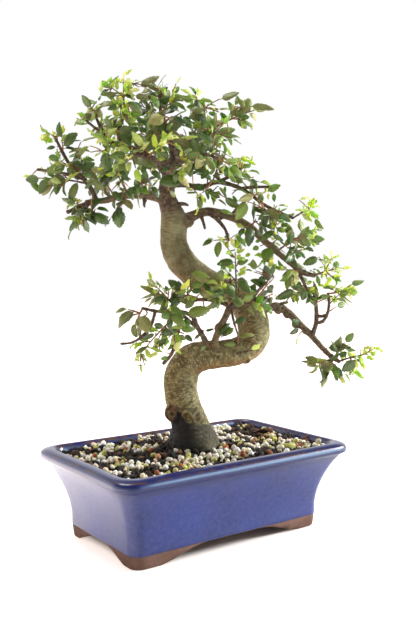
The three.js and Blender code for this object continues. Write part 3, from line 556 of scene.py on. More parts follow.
# Bare stubs and side twigs that only this finer piece has, as the limbs above
TWIGS = [
    [(93, 11, 164, 1.3), (97, 9, 163.5, 1.1), (101, 7, 165, 1)],
    [(-38, -2, 252, 1.8), (-38.5, -2.5, 248, 1), (-38, -3, 246.5, 0.6)],
    [(-10, 5, 236, 2), (-3, 2, 237, 1.5), (-1, 1, 239.5, 1.2)],
    [(4, 10, 241, 1.6), (6, 8, 235, 1.1), (7, 7, 231, 0.9)],
    [(17, 8, 237, 1.2), (22, 6, 240, 1), (24, 5, 243, 0.8)],
    [(-52, -5, 252, 2), (-55, -6, 249, 1.6), (-58, -7, 248, 1.2)],
    [(-78, -7, 250, 1.6), (-86, -10, 246, 1.3), (-94, -12, 242, 1.5)],
    [(-62, -20, 294, 1.3), (-70, -22, 300, 1.1), (-78, -24, 306, 0.9)],
    [(-82, -12, 266, 1.3), (-98, -17, 270, 1.1), (-114, -20, 272, 1)],
    [(24, -26, 170, 1.3), (26, -27, 180, 1.1), (25, -27, 196, 0.9)],
    [(40, -22, 177, 1.6), (46, -21, 184, 1.2), (52, -20, 190, 1)],
    [(3, -24, 156, 1.6), (-6, -27, 164, 1.2), (-14, -29, 172, 1)],
    [(-28, -36, 170, 1.2), (-32, -37, 158, 1), (-40, -39, 150, 0.9)],
    [(-33, -38, 155, 1), (-44, -40, 148, 0.9), (-52, -41, 147, 0.8)],
    [(72, -4, 204, 1.4), (78, -5, 196, 1.3), (84, -6, 184, 1.1)],
    [(26, 8, 240, 1.4), (34, 4, 248, 1.1), (42, -2, 254, 0.9)],
    [(-8, -34, 168.7, 1.3), (-12, -34, 155, 1.2), (-17, -32, 138.7, 1.2), (-22.4, -32, 132.2, 1.4)],
    [(26, -28, 171, 0.9), (28, -34, 162, 0.8), (31, -37, 152, 0.6)],
    [(30, -15, 137, 1.0), (36, -24, 139.5, 0.9), (43.6, -34, 143, 0.7)],
    [(16, 8, 266, 1.3), (26, 6, 270, 1.1), (34, 2, 276, 0.9)],
    [(34, 4, 261, 1.2), (48, 4, 262, 1), (60, 4, 262, 0.8)],
]


def clamp(value):
    return max(0, min(1, value))


def at(across, back, up):
    """A place in the tree's own axes, as millimetres from the pot's middle."""
    turn_x, turn_y = math.cos(TREE_TURN), math.sin(TREE_TURN)
    return Vector((across * turn_x + back * turn_y, -across * turn_y + back * turn_x, up))


def line_point(places, share):
    """Point on the smooth line through the places, with each step's pace set by its own length."""
    last = len(places) - 1
    first = min(int(share * last), last - 1)
    part = share * last - first
    start, end = places[first], places[first + 1]
    before = places[first - 1] if first > 0 else start * 2 - end
    after = places[first + 2] if first + 2 <= last else end * 2 - start
    steps = ((before, start), (start, end), (end, after))
    pace_0, pace_1, pace_2 = (math.sqrt((b - a).length) for a, b in steps)
    leave = ((start - before) / pace_0 - (end - before) / (pace_0 + pace_1) + (end - start) / pace_1) * pace_1
    arrive = ((end - start) / pace_1 - (after - start) / (pace_1 + pace_2) + (after - end) / pace_2) * pace_1
    bend = start * -3 + end * 3 - leave * 2 - arrive
    settle = start * 2 - end * 2 + leave + arrive
    return start + leave * part + bend * part ** 2 + settle * part ** 3


def line_length(places):
    spots = [line_point(places, step / 200) for step in range(201)]
    return sum((b - a).length for a, b in zip(spots, spots[1:]))


def radius_at(limb, share):
    place = share * (len(limb) - 1)
    first = min(len(limb) - 2, int(place))
    part = place - first
    return limb[first][3] * (1 - part) + limb[first + 1][3] * part


def limb_places(limb):
    return [at(*point[:3]) for point in limb]


def frames_along(spots):
    """The run, and two directions across it that don't twist, at each spot of a line."""
    runs = []
    for index in range(len(spots)):
        runs.append((spots[min(index + 1, len(spots) - 1)] - spots[max(index - 1, 0)]).normalized())
    axis = min(range(3), key=lambda k: abs(runs[0][k]))
    helper = Vector([1.0 if k == axis else 0.0 for k in range(3)])
    normal = runs[0].cross(runs[0].cross(helper).normalized())
    frames = []
    for run in runs:
        normal = (normal - run * normal.dot(run)).normalized()
        frames.append((run, normal, run.cross(normal)))
    return frames


def grow_tube(bm, spots, radii, sides, shape=None):
    """A closed bar along the spots. `shape` gives the girth at an angle and a spot."""
    rings = []
    for spot, radius, (_, normal, across) in zip(spots, radii, frames_along(spots)):
        ring = bmesh.ops.create_circle(bm, segments=sides, radius=1)["verts"]
        for vert in ring:
            angle = math.atan2(vert.co.y, vert.co.x)
            reach = radius * (shape(angle, spot) if shape else 1)
            vert.co = in_metres(spot + (normal * math.cos(angle) + across * math.sin(angle)) * reach)
        rings.append(list({edge for vert in ring for edge in vert.link_edges}))
    for lower, upper in zip(rings, rings[1:]):
        bmesh.ops.bridge_loops(bm, edges=lower + upper)
    for end in (rings[0], rings[-1]):
        bmesh.ops.contextual_create(bm, geom=end)


def add_copy(bm, mesh):
    """Joins a mesh to `bm`, and gives its vertices there."""
    first_new = len(bm.verts)
    bm.from_mesh(mesh)
    return list(bm.verts)[first_new:]


def add_tube(bm, spots, radii, sides, shape=None):
    """Joins a bar along the spots to `bm`, and gives its vertices there."""
    part = bmesh.new()
    grow_tube(part, spots, radii, sides, shape)
    rod = mesh_from("rod", part)
    added = add_copy(bm, rod)
    bpy.data.meshes.remove(rod)
    return added


def bark_layers(bm):
    """Where each point lies along and round its limb, and how far it has each of the bark's marks."""
    straight = bm.verts.layers.float_vector.new("straight")
    marks = ("young", "scar", "wet_and_shade", "smooth", "eye")
    return straight, {name: bm.verts.layers.float.new(name) for name in marks}


def trunk_girth(angle, spot):
    """Root flare in low ridges near the soil, and shallow muscle along the trunk."""
    flare = clamp((84 - spot.z) / 20)
    ridges = 0.07 * math.cos(3 * angle + 0.8) + 0.05 * math.cos(5 * angle)
    muscle = 0.025 * math.sin(2 * angle + spot.z / 17) + 0.02 * math.sin(3 * angle - spot.z / 9)
    return 1 + flare * ridges + muscle


def limb_line(limb, start=0.0, end=1.0):
    """Spots every ring step along part of a limb, with their radii, domed where the limb ends."""
    places = limb_places(limb)
    steps = max(3, round(line_length(places) * (end - start) / RING_STEP))
    shares = [start + (end - start) * step / steps for step in range(steps + 1)]
    spots = [line_point(places, share) for share in shares]
    radii = [radius_at(limb, share) for share in shares]
    run = (spots[-1] - spots[-2]).normalized()
    tip, radius = spots[-1].copy(), radii[-1]
    for forward, narrow in ((0.5, 0.85), (0.85, 0.5)):
        spots.append(tip + run * radius * forward)
        radii.append(radius * narrow)
    return spots, radii


bark, tree, shader = new_material("bark")

# How far a limb's bark is dark and purple-brown, at its foot and from its middle on, where that
# isn't wholly so
OLD_BARK = {
    "front": (0.2, 1.0), "low": (1.0, 0.75), "vee": (0.6, 0.9), "left": (0.9, 0.6), "arch": (1.0, 0.55),
}

wood = bmesh.new()
guide = []
fine_limbs = []
for order, (name, limb) in enumerate(LIMBS.items()):
    thick_end = 0.0
    while thick_end < 1 and radius_at(limb, thick_end) >= FINE_WOOD:
        thick_end += 0.01
    thick_end = min(1.0, thick_end)
    if thick_end > 0.03:
        spots, radii = limb_line(limb, 0.0, thick_end)
        stout = name == "trunk"
        add_tube(wood, spots, radii, TRUNK_SIDES if stout else LIMB_SIDES, trunk_girth if stout else None)
        run_length = order * RUN_APART
        for index, (spot, radius, frame_here) in enumerate(zip(spots, radii, frames_along(spots))):
            run_length += (spot - spots[index - 1]).length if index else 0
            if stout or all((spot - other[0]).length > other[1] + 1.5 for other in guide if other[4]):
                foot_dark, far_dark = OLD_BARK.get(name, (1.0, 1.0))
                darkness = foot_dark + (far_dark - foot_dark) * min(1, index / len(spots) * 2)
                guide.append((spot, radius, frame_here, run_length, stout, darkness))
    if thick_end < 1:
        fine_limbs.append((limb, max(0.0, thick_end - 0.05)))
for across, back, up, radius in KNOTS:
    bmesh.ops.create_icosphere(wood, subdivisions=3, radius=radius * MM,
                               matrix=Matrix.Translation(in_metres(at(across, back, up))))
bmesh.ops.recalc_face_normals(wood, faces=wood.faces)
trunk = from_bmesh("trunk_wood", wood, bark)
melt = trunk.modifiers.new("melt", "REMESH")
melt.mode = "VOXEL"
melt.voxel_size = VOXEL * MM
soften = trunk.modifiers.new("soften", "SMOOTH")
soften.factor = 0.5
soften.iterations = 7
bpy.context.view_layer.objects.active = trunk
for modifier in ("melt", "soften"):
    bpy.ops.object.modifier_apply(modifier=modifier)

# Scars, all a little taller than wide: place, the way they face, ring radius, ring height and
# depth of the hollow. Those with a hollow are stained. A wide one has a dark line painted on each
# side of its ring, as painted shade where a groove would be, and a pale crest painted on the ring
# as a painted highlight. The widest is the burl, from which a dark stain runs down to the soil.
SCAR_SQUEEZE = 0.78
BURL_RING = 4
EYE_RING = 3
GROOVE_SHADE_WIDTH = 0.7
BURL_SIDE = -12.6
BURL_STAIN = 11
# Height of the dark base, partly a wet stain and partly painted shade
DARK_BASE_TOP = 84.5
NECK_HEIGHT = 234
SMOOTH_HEIGHT = 178
SCARS = [
    ((-18.5, -15.4, 92.5), (-0.3, -0.95, 0.05), 4.2, 1.5, 3.0),
    ((-6.8, -17.2, 90), (0.0, -1, 0.1), 1.3, 0.5, 1.6),
    ((-6.2, -17.2, 90.2), (0.0, -1, 0.1), 3.3, 1.2, 0.0),
    ((1.6, -15.6, 90), (0.2, -1, 0.1), 3.1, 0.7, 0.5),
    ((-2.4, -17.4, 90.6), (0.0, -1, 0.1), 6.6, 0.9, 0.0),
    ((38.5, -13, 130), (0.1, -0.5, -0.9), 2.4, 0.7, 1.8),
    ((18, -28.5, 157), (0, -1, 0.1), 2.0, 0.8, 2.0),
    ((-2.8, -16.2, 112), (0, -1, 0), 1.7, 0.2, 2.0),
    ((-16, -15.5, 122), (-0.4, -0.9, 0), 2.6, 0.6, 0.5),
    ((-24, -6, 232), (-0.9, -0.3, 0), 1.6, 0.6, 0.4),
    ((16.5, -17.4, 135), (0, -1, 0), 1.4, 0.3, 1.3),
    ((-14, 12, 112), (-0.3, 0.9, 0), 3.0, 0.6, 0.9),
    ((30, 5, 136), (0, 0.9, -0.2), 3.4, 0.5, 0.8),
    ((-18, 16, 222), (0, 1, 0), 2.6, 0.6, 0.7),
]

finder = kdtree.KDTree(len(guide))
for index, (spot, *_) in enumerate(guide):
    finder.insert(in_metres(spot), index)
finder.balance()

bm = bmesh.new()
bm.from_mesh(trunk.data)
bm.normal_update()
straight_layer, masks = bark_layers(bm)
normals = [vert.normal.copy() for vert in bm.verts]
scars = [(in_metres(at(*place)), at(*facing).normalized(), *sizes) for place, facing, *sizes in SCARS]
for vert, normal in zip(bm.verts, normals):
    spot, radius, (run, first, second), run_length, stout, darkness = guide[finder.find(vert.co)[1]]
    away = (vert.co - in_metres(spot)) / MM
    straight = Vector((run_length + away.dot(run), away.dot(first), away.dot(second)))
    height = vert.co.z / MM
    rough = min(1, radius / 9)
    lift = waver(vert.co, 0.017, 0.9 * rough) + waver(vert.co, 0.006, 0.35 * rough, 5)
    lift += waver(vert.co, 0.0022, 0.16, 9)
    creases = noise.noise(Vector((straight.x / 1.5, straight.y / 7, straight.z / 7)))
    lift += creases * (0.22 if stout else 0.14)
    lift += clamp((80 - height) / 14) * waver(Vector((vert.co.x, vert.co.y, vert.co.z * 0.25)), 0.006, 1.3, 2)
    mark = 0.0
    eye = 0.0
    for place, facing, ring, rise, hollow in scars:
        offset = (vert.co - place) / MM
        offset.z *= SCAR_SQUEEZE
        if offset.length > ring * 2.6 or normal.dot(facing) < -0.2:
            continue
        from_middle = (offset - facing * offset.dot(facing)).length * (1 + 0.3 * noise.noise(vert.co * 240))
        lift += rise * math.exp(-((from_middle - ring) / (0.32 * ring)) ** 2)
        lift -= hollow * math.exp(-(from_middle / (0.55 * ring)) ** 2)
        burl = ring > BURL_RING and hollow > 0
        if hollow > 0:
            mark = max(mark, (1 if burl else 0.7) * math.exp(-(from_middle / (0.75 * ring)) ** 2))
        if burl:
            mark = max(mark, 0.9 * math.exp(-((from_middle - ring) / (0.35 * ring)) ** 4))
        elif ring > EYE_RING:
            # Painted shade at the foot of the ring on each side, and a painted highlight on its crest
            for shade_line, depth in ((ring * 0.62, 1), (ring + 1.5, 1), (ring, -1)):
                eye += depth * math.exp(-((from_middle - shade_line) / GROOVE_SHADE_WIDTH) ** 2)
    vert.co += normal * lift * MM
    vert[straight_layer] = straight
    ragged = waver(vert.co, 0.012, 7)
    neck = clamp((height - NECK_HEIGHT + ragged) / 14) if stout else 1
    on_limb = 1 if stout else clamp(2.6 - away.length / radius)
    vert[masks["young"]] = neck * darkness * on_limb
    vert[masks["scar"]] = mark
    vert[masks["eye"]] = eye
    # Dark base: part wet stain, part painted shade, kept lower and fainter on the lamp-lit flank
    lit_flank = max(0, normal.dot(at(0.9, -0.45, 0).normalized()) - 0.35)
    across = (vert.co - POT_MIDDLE).dot(at(1, 0, 0)) / MM
    below_burl = max(0, normal.dot(at(0, -1, 0))) * math.exp(-((across - BURL_SIDE) / 4) ** 2)
    dark_base_top = DARK_BASE_TOP + ragged * 0.5 - 3 * lit_flank + BURL_STAIN * below_burl
    vert[masks["wet_and_shade"]] = clamp((dark_base_top - height) / 1.8 + 0.5) * (1 - 0.25 * min(1, lit_flank * 4))
    vert[masks["smooth"]] = clamp((height - SMOOTH_HEIGHT) / 22)
bm.to_mesh(trunk.data)
bm.free()
trunk.data.shade_smooth()

bm = bmesh.new()
straight_layer, masks = bark_layers(bm)
for limb, start in fine_limbs + [(twig, 0.0) for twig in TWIGS]:
    spots, radii = limb_line(limb, start)
    radii = [radius * (1 + 0.16 * noise.noise(spot / 4) + 0.12 * (index % 4 == 0))
             for index, (spot, radius) in enumerate(zip(spots, radii))]
    for vert in add_tube(bm, spots, radii, TWIG_SIDES):
        vert.co += Vector([waver(vert.co, 0.0025, 0.00022, seed) for seed in (1, 2, 3)])
        vert[straight_layer] = Vector((vert.co.z, vert.co.x * 0.2, vert.co.y * 0.2)) / MM
        vert[masks["young"]] = 1
bmesh.ops.recalc_face_normals(bm, faces=bm.faces)
twigs = from_bmesh("branch_twigs", bm, bark)

# Bark: small plates that lie across the limb, pale in the middle and dark between, on blotches of
# olive and brown, with pale olive painted on the side that faces the lamp on the right as painted
# light. It is greyer where it is smooth, tan below, and purple-brown on the branches.
spot = on_surface(tree)
straight = attribute(tree, "straight", "Vector")
stretch = node(tree, "ShaderNodeMapping")
stretch.inputs["Scale"].default_value = (0.55, 0.2, 0.2)
plates = node(tree, "ShaderNodeTexVoronoi", Scale=1.0)
wire(tree, (straight, stretch.inputs["Vector"]), (stretch.outputs["Vector"], plates.inputs["Vector"]))
gap = between(tree, plates.outputs["Distance"], 0.3, 0.8)
broad = noise_on(tree, spot, 95, 5, 0.7)
fleck = noise_on(tree, stretch.outputs["Vector"], 1.7, 3, 0.6)
facing = node(tree, "ShaderNodeSeparateXYZ")
toward_light = node(tree, "ShaderNodeVectorMath", operation="DOT_PRODUCT")
toward_light.inputs[1].default_value = at(0.92, -0.3, 0.25).normalized()
faced = node(tree, "ShaderNodeNewGeometry").outputs["Normal"]
wire(tree, (faced, facing.inputs[0]), (faced, toward_light.inputs[0]))
smooth = attribute(tree, "smooth")
rough_share = maths(tree, "SUBTRACT", 1.0, times(tree, smooth, 0.75))
# Painted highlight: paler olive where the bark faces the lamp on the right
lit_side_paleness = times(tree, between(tree, toward_light.outputs["Value"], 0.05, 0.75),
                  between(tree, broad, 0.3, 0.55, 0.35, 0.9))
brown = blend_paint(tree, between(tree, broad, 0.38, 0.6), paint(96, 72, 32), paint(158, 136, 82))
olive = blend_paint(tree, lit_side_paleness, brown, paint(178, 171, 120))
mottled, fine = grain(tree, spot, 420, 0.46, 0.66, 0.6, olive, paint(74, 56, 30))
gapped = blend_paint(tree, times(tree, gap, times(tree, rough_share, 0.45)), mottled, paint(62, 46, 28))
pale_share = times(tree, between(tree, fleck, 0.52, 0.68), times(tree, rough_share, 0.8))
flecked = blend_paint(tree, pale_share, gapped, paint(206, 192, 140))
smooth_paint = blend_paint(tree, between(tree, broad, 0.38, 0.62), paint(112, 96, 62), paint(160, 152, 114))
grey = blend_paint(tree, times(tree, smooth, 0.7), flecked, smooth_paint)
below = times(tree, between(tree, facing.outputs["Z"], -0.25, -0.95),
              between(tree, broad, 0.35, 0.6, 0.3, 0.8))
tan = blend_paint(tree, below, grey, paint(166, 116, 70))
purple = blend_paint(tree, between(tree, fine, 0.4, 0.66), paint(74, 56, 44), paint(136, 112, 90))
young = blend_paint(tree, attribute(tree, "young"), tan, purple)
eye = attribute(tree, "eye")
# Painted shade in dark lines beside a wide scar's ring, and a painted highlight on its crest
groove_shade = blend_paint(tree, between(tree, eye, 0.15, 1.1, 0, 0.6), young, paint(56, 42, 24))
crest_highlight = blend_paint(tree, between(tree, eye, -0.1, -0.9, 0, 0.4), groove_shade, paint(182, 166, 112))
healed, _ = grain(tree, spot, 400, 0.42, 0.6, 1, paint(44, 30, 24), paint(134, 84, 62))
scarred = blend_paint(tree, times(tree, attribute(tree, "scar"), 0.95), crest_highlight, healed)
# Near-black foot, partly a wet stain and partly painted shade
stain_and_shade = between(tree, maths(tree, "ADD", attribute(tree, "wet_and_shade"), times(tree, fine, 0.3)), 0.25, 1.1)
wet_and_shade_paint = blend_paint(tree, between(tree, fine, 0.35, 0.7), paint(16, 13, 13), paint(50, 42, 38))
stained_and_shaded = blend_paint(tree, stain_and_shade, scarred, wet_and_shade_paint)
height = maths(tree, "SUBTRACT", times(tree, fine, 0.8), times(tree, gap, 0.6))
finish(tree, shader, stained_and_shaded, 0.8, height, 0.8, 0.0008)

stand_for(trunk, "bark", "trunk")
stand_for(twigs, "bark", "trunk")

# Soil: dark damp potting mix, mounded at the trunk and banked against the wall, that fills the
# pot down to its floor. Its surface is crumbly.
SOIL_EDGE_HEIGHT = 59.5
SOIL_MOUND = 5
SOIL_MOUND_REACH = 42
SOIL_BANK = 1.8
SOIL_CELL = 1.5
# Loops round the soil from its surface to the pot's floor: how far out from the foot line, and how high
SOIL_SIDES = [(9.4, 0), (6.4, 56.4), (3.0, 49.6), (-2.0, 38), (-5.0, 28), (-6.7, 19), (-7.6, 17.2)]


def soil_height(x, y):
    """Height of the soil's own surface, in millimetres, at a place measured from the pot's middle."""
    mound = SOIL_MOUND * math.exp(-(x * x + y * y) / SOIL_MOUND_REACH ** 2)
    place = Vector((x, y, 0))
    bank = SOIL_BANK * clamp(max(y - 30, x - 66) / 14)
    return SOIL_EDGE_HEIGHT + mound + bank + waver(place, 17, 1.3, 4) + waver(place, 5, 0.9, 8)


def inside_pot(x, y, reach):
    """True where a place lies within the loop that stands `reach` outside the foot line."""
    corner = BODY_CORNER + 2
    over_x = abs(x) - (RIM_LENGTH / 2 - RIM_OVERHANG + reach - corner)
    over_y = abs(y) - (RIM_WIDTH / 2 - RIM_OVERHANG + reach - corner)
    return math.hypot(max(over_x, 0), max(over_y, 0)) < corner


soil_mix, tree, shader = new_material("soil_mix")
bm = bmesh.new()
bmesh.ops.create_grid(bm, x_segments=round(RIM_LENGTH / SOIL_CELL), y_segments=round(RIM_WIDTH / SOIL_CELL),
                      size=0.5)
for vert in bm.verts:
    vert.co = Vector((vert.co.x * RIM_LENGTH, vert.co.y * RIM_WIDTH, 0))
outside = [vert for vert in bm.verts if not inside_pot(vert.co.x, vert.co.y, SOIL_SIDES[0][0])]
bmesh.ops.delete(bm, geom=outside, context="VERTS")
for vert in bm.verts:
    crumbs = waver(vert.co, 2.1, 1.5, 6) + waver(vert.co, 1.1, 0.6, 2)
    vert.co.z = soil_height(vert.co.x, vert.co.y) + crumbs
border = [edge for edge in bm.edges if edge.is_boundary]
for (outer, _), (reach, height) in zip(SOIL_SIDES, SOIL_SIDES[1:]):
    lower = bmesh.ops.extrude_edge_only(bm, edges=border)["geom"]
    border = [piece for piece in lower if isinstance(piece, bmesh.types.BMEdge)]
    shrink_x = (RIM_LENGTH / 2 - RIM_OVERHANG + reach) / (RIM_LENGTH / 2 - RIM_OVERHANG + outer)
    shrink_y = (RIM_WIDTH / 2 - RIM_OVERHANG + reach) / (RIM_WIDTH / 2 - RIM_OVERHANG + outer)
    for vert in {vert for edge in border for vert in edge.verts}:
        vert.co = Vector((vert.co.x * shrink_x, vert.co.y * shrink_y, height))
bmesh.ops.contextual_create(bm, geom=border)
bmesh.ops.recalc_face_normals(bm, faces=bm.faces)
for vert in bm.verts:
    vert.co = in_metres(vert.co)
soil = from_bmesh("soil_bed", bm, soil_mix)

spot = on_surface(tree)
damp, crumb = grain(tree, spot, 700, 0.4, 0.7, 1, paint(22, 17, 15), paint(58, 44, 35))
fibre, _ = grain(tree, spot, 240, 0.6, 0.7, 0.6, damp, paint(96, 66, 46))
finish(tree, shader, fibre, 0.9, crumb, 0.9, 0.0012)
stand_for(soil, "soil_and_grit", "soil")

# Grit: rounded beads of pumice and baked clay strewn on the soil, in drifts of one colour, with
# crumbs of black humus and flakes of bark between them. Each grain rests on those laid before it.
BEADS = 580
BEAD_SIZES = (2.4, 4.6)
CRUMBS = 900
CRUMB_SIZES = (2.6, 7.2)
FLAKES = 80
FLAKE_SIZES = (5, 10)
BEAD_GAP = 0.9
# How high a stone's middle sits on the soil, and how high it may be piled, as shares of its size
SEAT = 0.22
HIGHEST_BEAD = 0.75
HIGHEST_CRUMB = 0.25
# Width of the drifts and of the unevenness in them, and how likely beads are anywhere, in a drift
# and towards the front
DRIFT = 21
DRIFT_EDGE = 8
STRAY_BEADS = 0.07
DRIFT_BEADS = 4.2
FRONT_BEADS = 0.3
# Width of the patches of one colour, and the levels below which beads are white, or else green
SORT_PATCH = 15
WHITE_SORT = 0.16
GREEN_SORT = 0.44
LAID_CELL = 5
GRIT_SEED = 26
TRUNK_FOOT_RADIUS = 19
BEAD_PAINTS = {
    "white": [(252, 246, 228), (242, 234, 208), (254, 252, 244), (226, 212, 180), (246, 228, 212)],
    "green": [(206, 200, 122), (190, 186, 96), (224, 214, 154), (172, 166, 92)],
    "orange": [(196, 112, 66), (172, 94, 58), (204, 150, 110), (132, 88, 62), (150, 112, 82)],
}
CRUMB_PAINTS = [(32, 25, 21), (22, 17, 16), (52, 38, 30), (38, 30, 26)]
FLAKE_PAINTS = [(98, 62, 40), (76, 50, 34), (122, 80, 52), (60, 40, 30)]


def bead_shape(name, seed, roughness, flat=1.0):
    """A rounded stone with a few dozen faces."""
    bm = bmesh.new()
    bmesh.ops.create_cube(bm, size=1)
    bmesh.ops.subdivide_edges(bm, edges=bm.edges, cuts=1, use_grid_fill=True)
    for vert in bm.verts:
        round_place = vert.co.normalized() * 0.5
        vert.co = round_place * (1 + roughness * noise.noise(round_place * 3 + Vector((seed * 7, 0, 0))))
        vert.co.z *= flat
    return mesh_from(name, bm)


def strew(bm, tint_layer, shape, place, size, turn, colour):
    """One copy of a shape at a place, with its own colour."""
    place, stretch = Vector(place), Matrix.Diagonal(size)
    for vert in add_copy(bm, shape):
        vert.co = in_metres(place + turn @ (stretch @ vert.co))
        vert[tint_layer] = colour


def any_turn(rng, lean=math.pi):
    turn = Matrix.Rotation(rng.uniform(0, 2 * math.pi), 3, "Z")
    for axis in "XY":
        turn = turn @ Matrix.Rotation(rng.uniform(-lean, lean), 3, axis)
    return turn


def shade(rng, colour, spread=0.12):
    """The chart colour, a little lighter or darker."""
    level = 1 + rng.uniform(-spread, spread)
    return paint(*(min(255, value * level) for value in colour))


def on_soil(rng, reach=6.2):
    """A random place on the soil, clear of the trunk's foot."""
    while True:
        x = rng.uniform(-RIM_LENGTH / 2, RIM_LENGTH / 2)
        y = rng.uniform(-RIM_WIDTH / 2, RIM_WIDTH / 2)
        if inside_pot(x, y, reach) and math.hypot(x, y) > TRUNK_FOOT_RADIUS:
            return x, y


grit, tree, shader = new_material("grit")
tint = attribute(tree, "tint", "Color")
pitted, pits = grain(tree, on_surface(tree), 1300, 0.5, 0.72, 0.5, tint, paint(98, 78, 56))
finish(tree, shader, pitted, 0.8, pits, 0.5, 0.0004)

rng = random.Random(GRIT_SEED)
bead_shapes = [bead_shape("bead", seed, 0.6) for seed in range(9)]
crumb_shapes = [bead_shape("crumb", seed, 1.2, 0.75) for seed in range(11, 17)]
flake_shapes = [bead_shape("flake", seed, 1.1, 0.3) for seed in range(21, 26)]
strewn = {}


def lay(x, y, size):
    """Height at which a stone of this size comes to rest on the soil and the stones laid before it."""
    cell_x, cell_y = int(x // LAID_CELL), int(y // LAID_CELL)
    rest = soil_height(x, y) + size * SEAT
    for near_x in (-1, 0, 1):
        for near_y in (-1, 0, 1):
            for px, py, pz, other in strewn.get((cell_x + near_x, cell_y + near_y), ()):
                apart = math.hypot(px - x, py - y)
                reach = (size + other) / 2 * BEAD_GAP
                if apart < reach:
                    rest = max(rest, pz + math.sqrt(reach ** 2 - apart ** 2))
    return (cell_x, cell_y), rest


bm = bmesh.new()
tint_layer = bm.verts.layers.float_color.new("tint")
laid = 0
while laid < BEADS:
    x, y = on_soil(rng)
    drift = noise.noise(Vector((x / DRIFT, y / DRIFT, 3)))
    drift += 0.5 * noise.noise(Vector((x / DRIFT_EDGE, y / DRIFT_EDGE, 9)))
    front = (-0.5 * x * 0.59 - y * 0.81) / 90
    if rng.random() > STRAY_BEADS + drift * DRIFT_BEADS + front * FRONT_BEADS:
        continue
    size = rng.uniform(*BEAD_SIZES)
    cell, rest = lay(x, y, size)
    if rest > soil_height(x, y) + size * HIGHEST_BEAD:
        continue
    strewn.setdefault(cell, []).append((x, y, rest, size))
    sort = noise.noise(Vector((x / SORT_PATCH, y / SORT_PATCH, 31))) * 0.9 + rng.uniform(-0.5, 0.5)
    kind = "white" if sort < WHITE_SORT else "green" if sort < GREEN_SORT else "orange"
    colour = shade(rng, rng.choice(BEAD_PAINTS[kind]))
    shape = rng.choice(bead_shapes)
    stretch = (size * rng.uniform(0.9, 1.15), size * rng.uniform(0.85, 1.05), size * rng.uniform(0.8, 1))
    strew(bm, tint_layer, shape, (x, y, rest), stretch, any_turn(rng), colour)
    laid += 1
for count, shapes, paints, sizes, lean in (
        (CRUMBS, crumb_shapes, CRUMB_PAINTS, CRUMB_SIZES, math.pi),
        (FLAKES, flake_shapes, FLAKE_PAINTS, FLAKE_SIZES, 0.6)):
    for _ in range(count):
        x, y = on_soil(rng)
        size = rng.uniform(*sizes)
        _, rest = lay(x, y, size * 0.6)
        if rest > soil_height(x, y) + size * HIGHEST_CRUMB:
            continue
        stretch = (size, size * rng.uniform(0.5, 0.9), size * rng.uniform(0.6, 1))
        colour = shade(rng, rng.choice(paints))
        strew(bm, tint_layer, rng.choice(shapes), (x, y, rest), stretch, any_turn(rng, lean), colour)

# Larger things on the soil: a pale green lump, chunks of broken bark, and upright splinters
for place, size, colour in (
        ((61.5, -35.6, 62), (12, 9.5, 8), (172, 176, 78)),
        ((-84, 34, 63.5), (9, 6, 7), (62, 42, 32)),
        ((-50, 48, 62.5), (8, 6, 6), (30, 24, 22))):
    strew(bm, tint_layer, rng.choice(bead_shapes), place, size, any_turn(rng, 0.4), shade(rng, colour))
for place in ((80, 14, 64), (83, 10, 65), (77, 17, 63), (72, 8, 63), (76, 11, 65.5), (79, 19, 62.5)):
    size = (rng.uniform(7, 10), rng.uniform(4, 6), rng.uniform(5, 8))
    shape = rng.choice(flake_shapes)
    strew(bm, tint_layer, shape, place, size, any_turn(rng, 0.9), shade(rng, rng.choice(FLAKE_PAINTS)))
splinter = bmesh.new()
bmesh.ops.create_cone(splinter, cap_ends=True, segments=5, radius1=0.5, radius2=0.08, depth=1)
splinter_shape = mesh_from("splinter", splinter)
for place, lean in (
        ((80, 45, 65), 0.5), ((87, 40, 64.5), 0.6), ((88, 37, 63.5), 0.9), ((-86, 30, 63.5), 0.7)):
    strew(bm, tint_layer, splinter_shape, place, (2.8, 2.2, 7), any_turn(rng, lean), shade(rng, (96, 60, 42)))
bmesh.ops.recalc_face_normals(bm, faces=bm.faces)
grit_bed = from_bmesh("grit_bed", bm, grit)
stand_for(grit_bed, "soil_and_grit", "soil")

# Drain screens: squares of black moulded mesh over the two holes, which keep the soil in. They
# keep the shape of their solids.
mesh_plastic, tree, shader = new_material("mesh_plastic")
scuffed, scuff = grain(tree, on_surface(tree), 500, 0.3, 0.7, 1, paint(26, 26, 26), paint(48, 47, 45))
finish(tree, shader, scuffed, between(tree, scuff, 0.3, 0.7, 0.45, 0.65), scuff, 0.2, 0.0002)
for node_name in ("drain_screen_left", "drain_screen_right"):
    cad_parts[node_name].material_slots[0].material = mesh_plastic

# Leafy sprays: thin red-brown shoots with alternate leaves, pointed, toothed and folded at the
# rib, dark and glossy when old and bright green at the growing tips. Each grows from one limb.
LEAF_LENGTHS = {"dark": 14.5, "mid": 13.5, "olive": 14, "lime": 10.5}
LEAF_WIDTH = 0.56
LEAF_STEP = 8
TIP_LEAF = 0.8
FIRST_LEAF = 0.32
LEAF_ROOM = 5
LEAF_ANGLE = 0.98
LEAF_DROOP = 0.24
LEAF_BENDS = [(0, 0), (0.4, 0), (-0.4, 0), (0, 0.3), (0.4, 0.3), (-0.4, 0.3), (0, 0.55)]
STALK = 1.3
LEAF_CLEARANCE = 4.1
OWN_LEAF_CLEARANCE = 2.2
FOOT_SPOTS = 3
LEAF_SEED = 8081
SHOOT_RADIUS = 0.75
SHOOT_ARCH = 0.06
SHORTEST_SHOOT = 0.5
SIDE_SHOOT_START = 0.4
CROWN_HEART = (-15, 4, 280)
BLADE_ROWS = 12
BLADE_THICKNESS = 0.024
WIDEST_BLADE = 0.374
LEAF_ROLL = 0.5
LEAF_NOD = 0.2

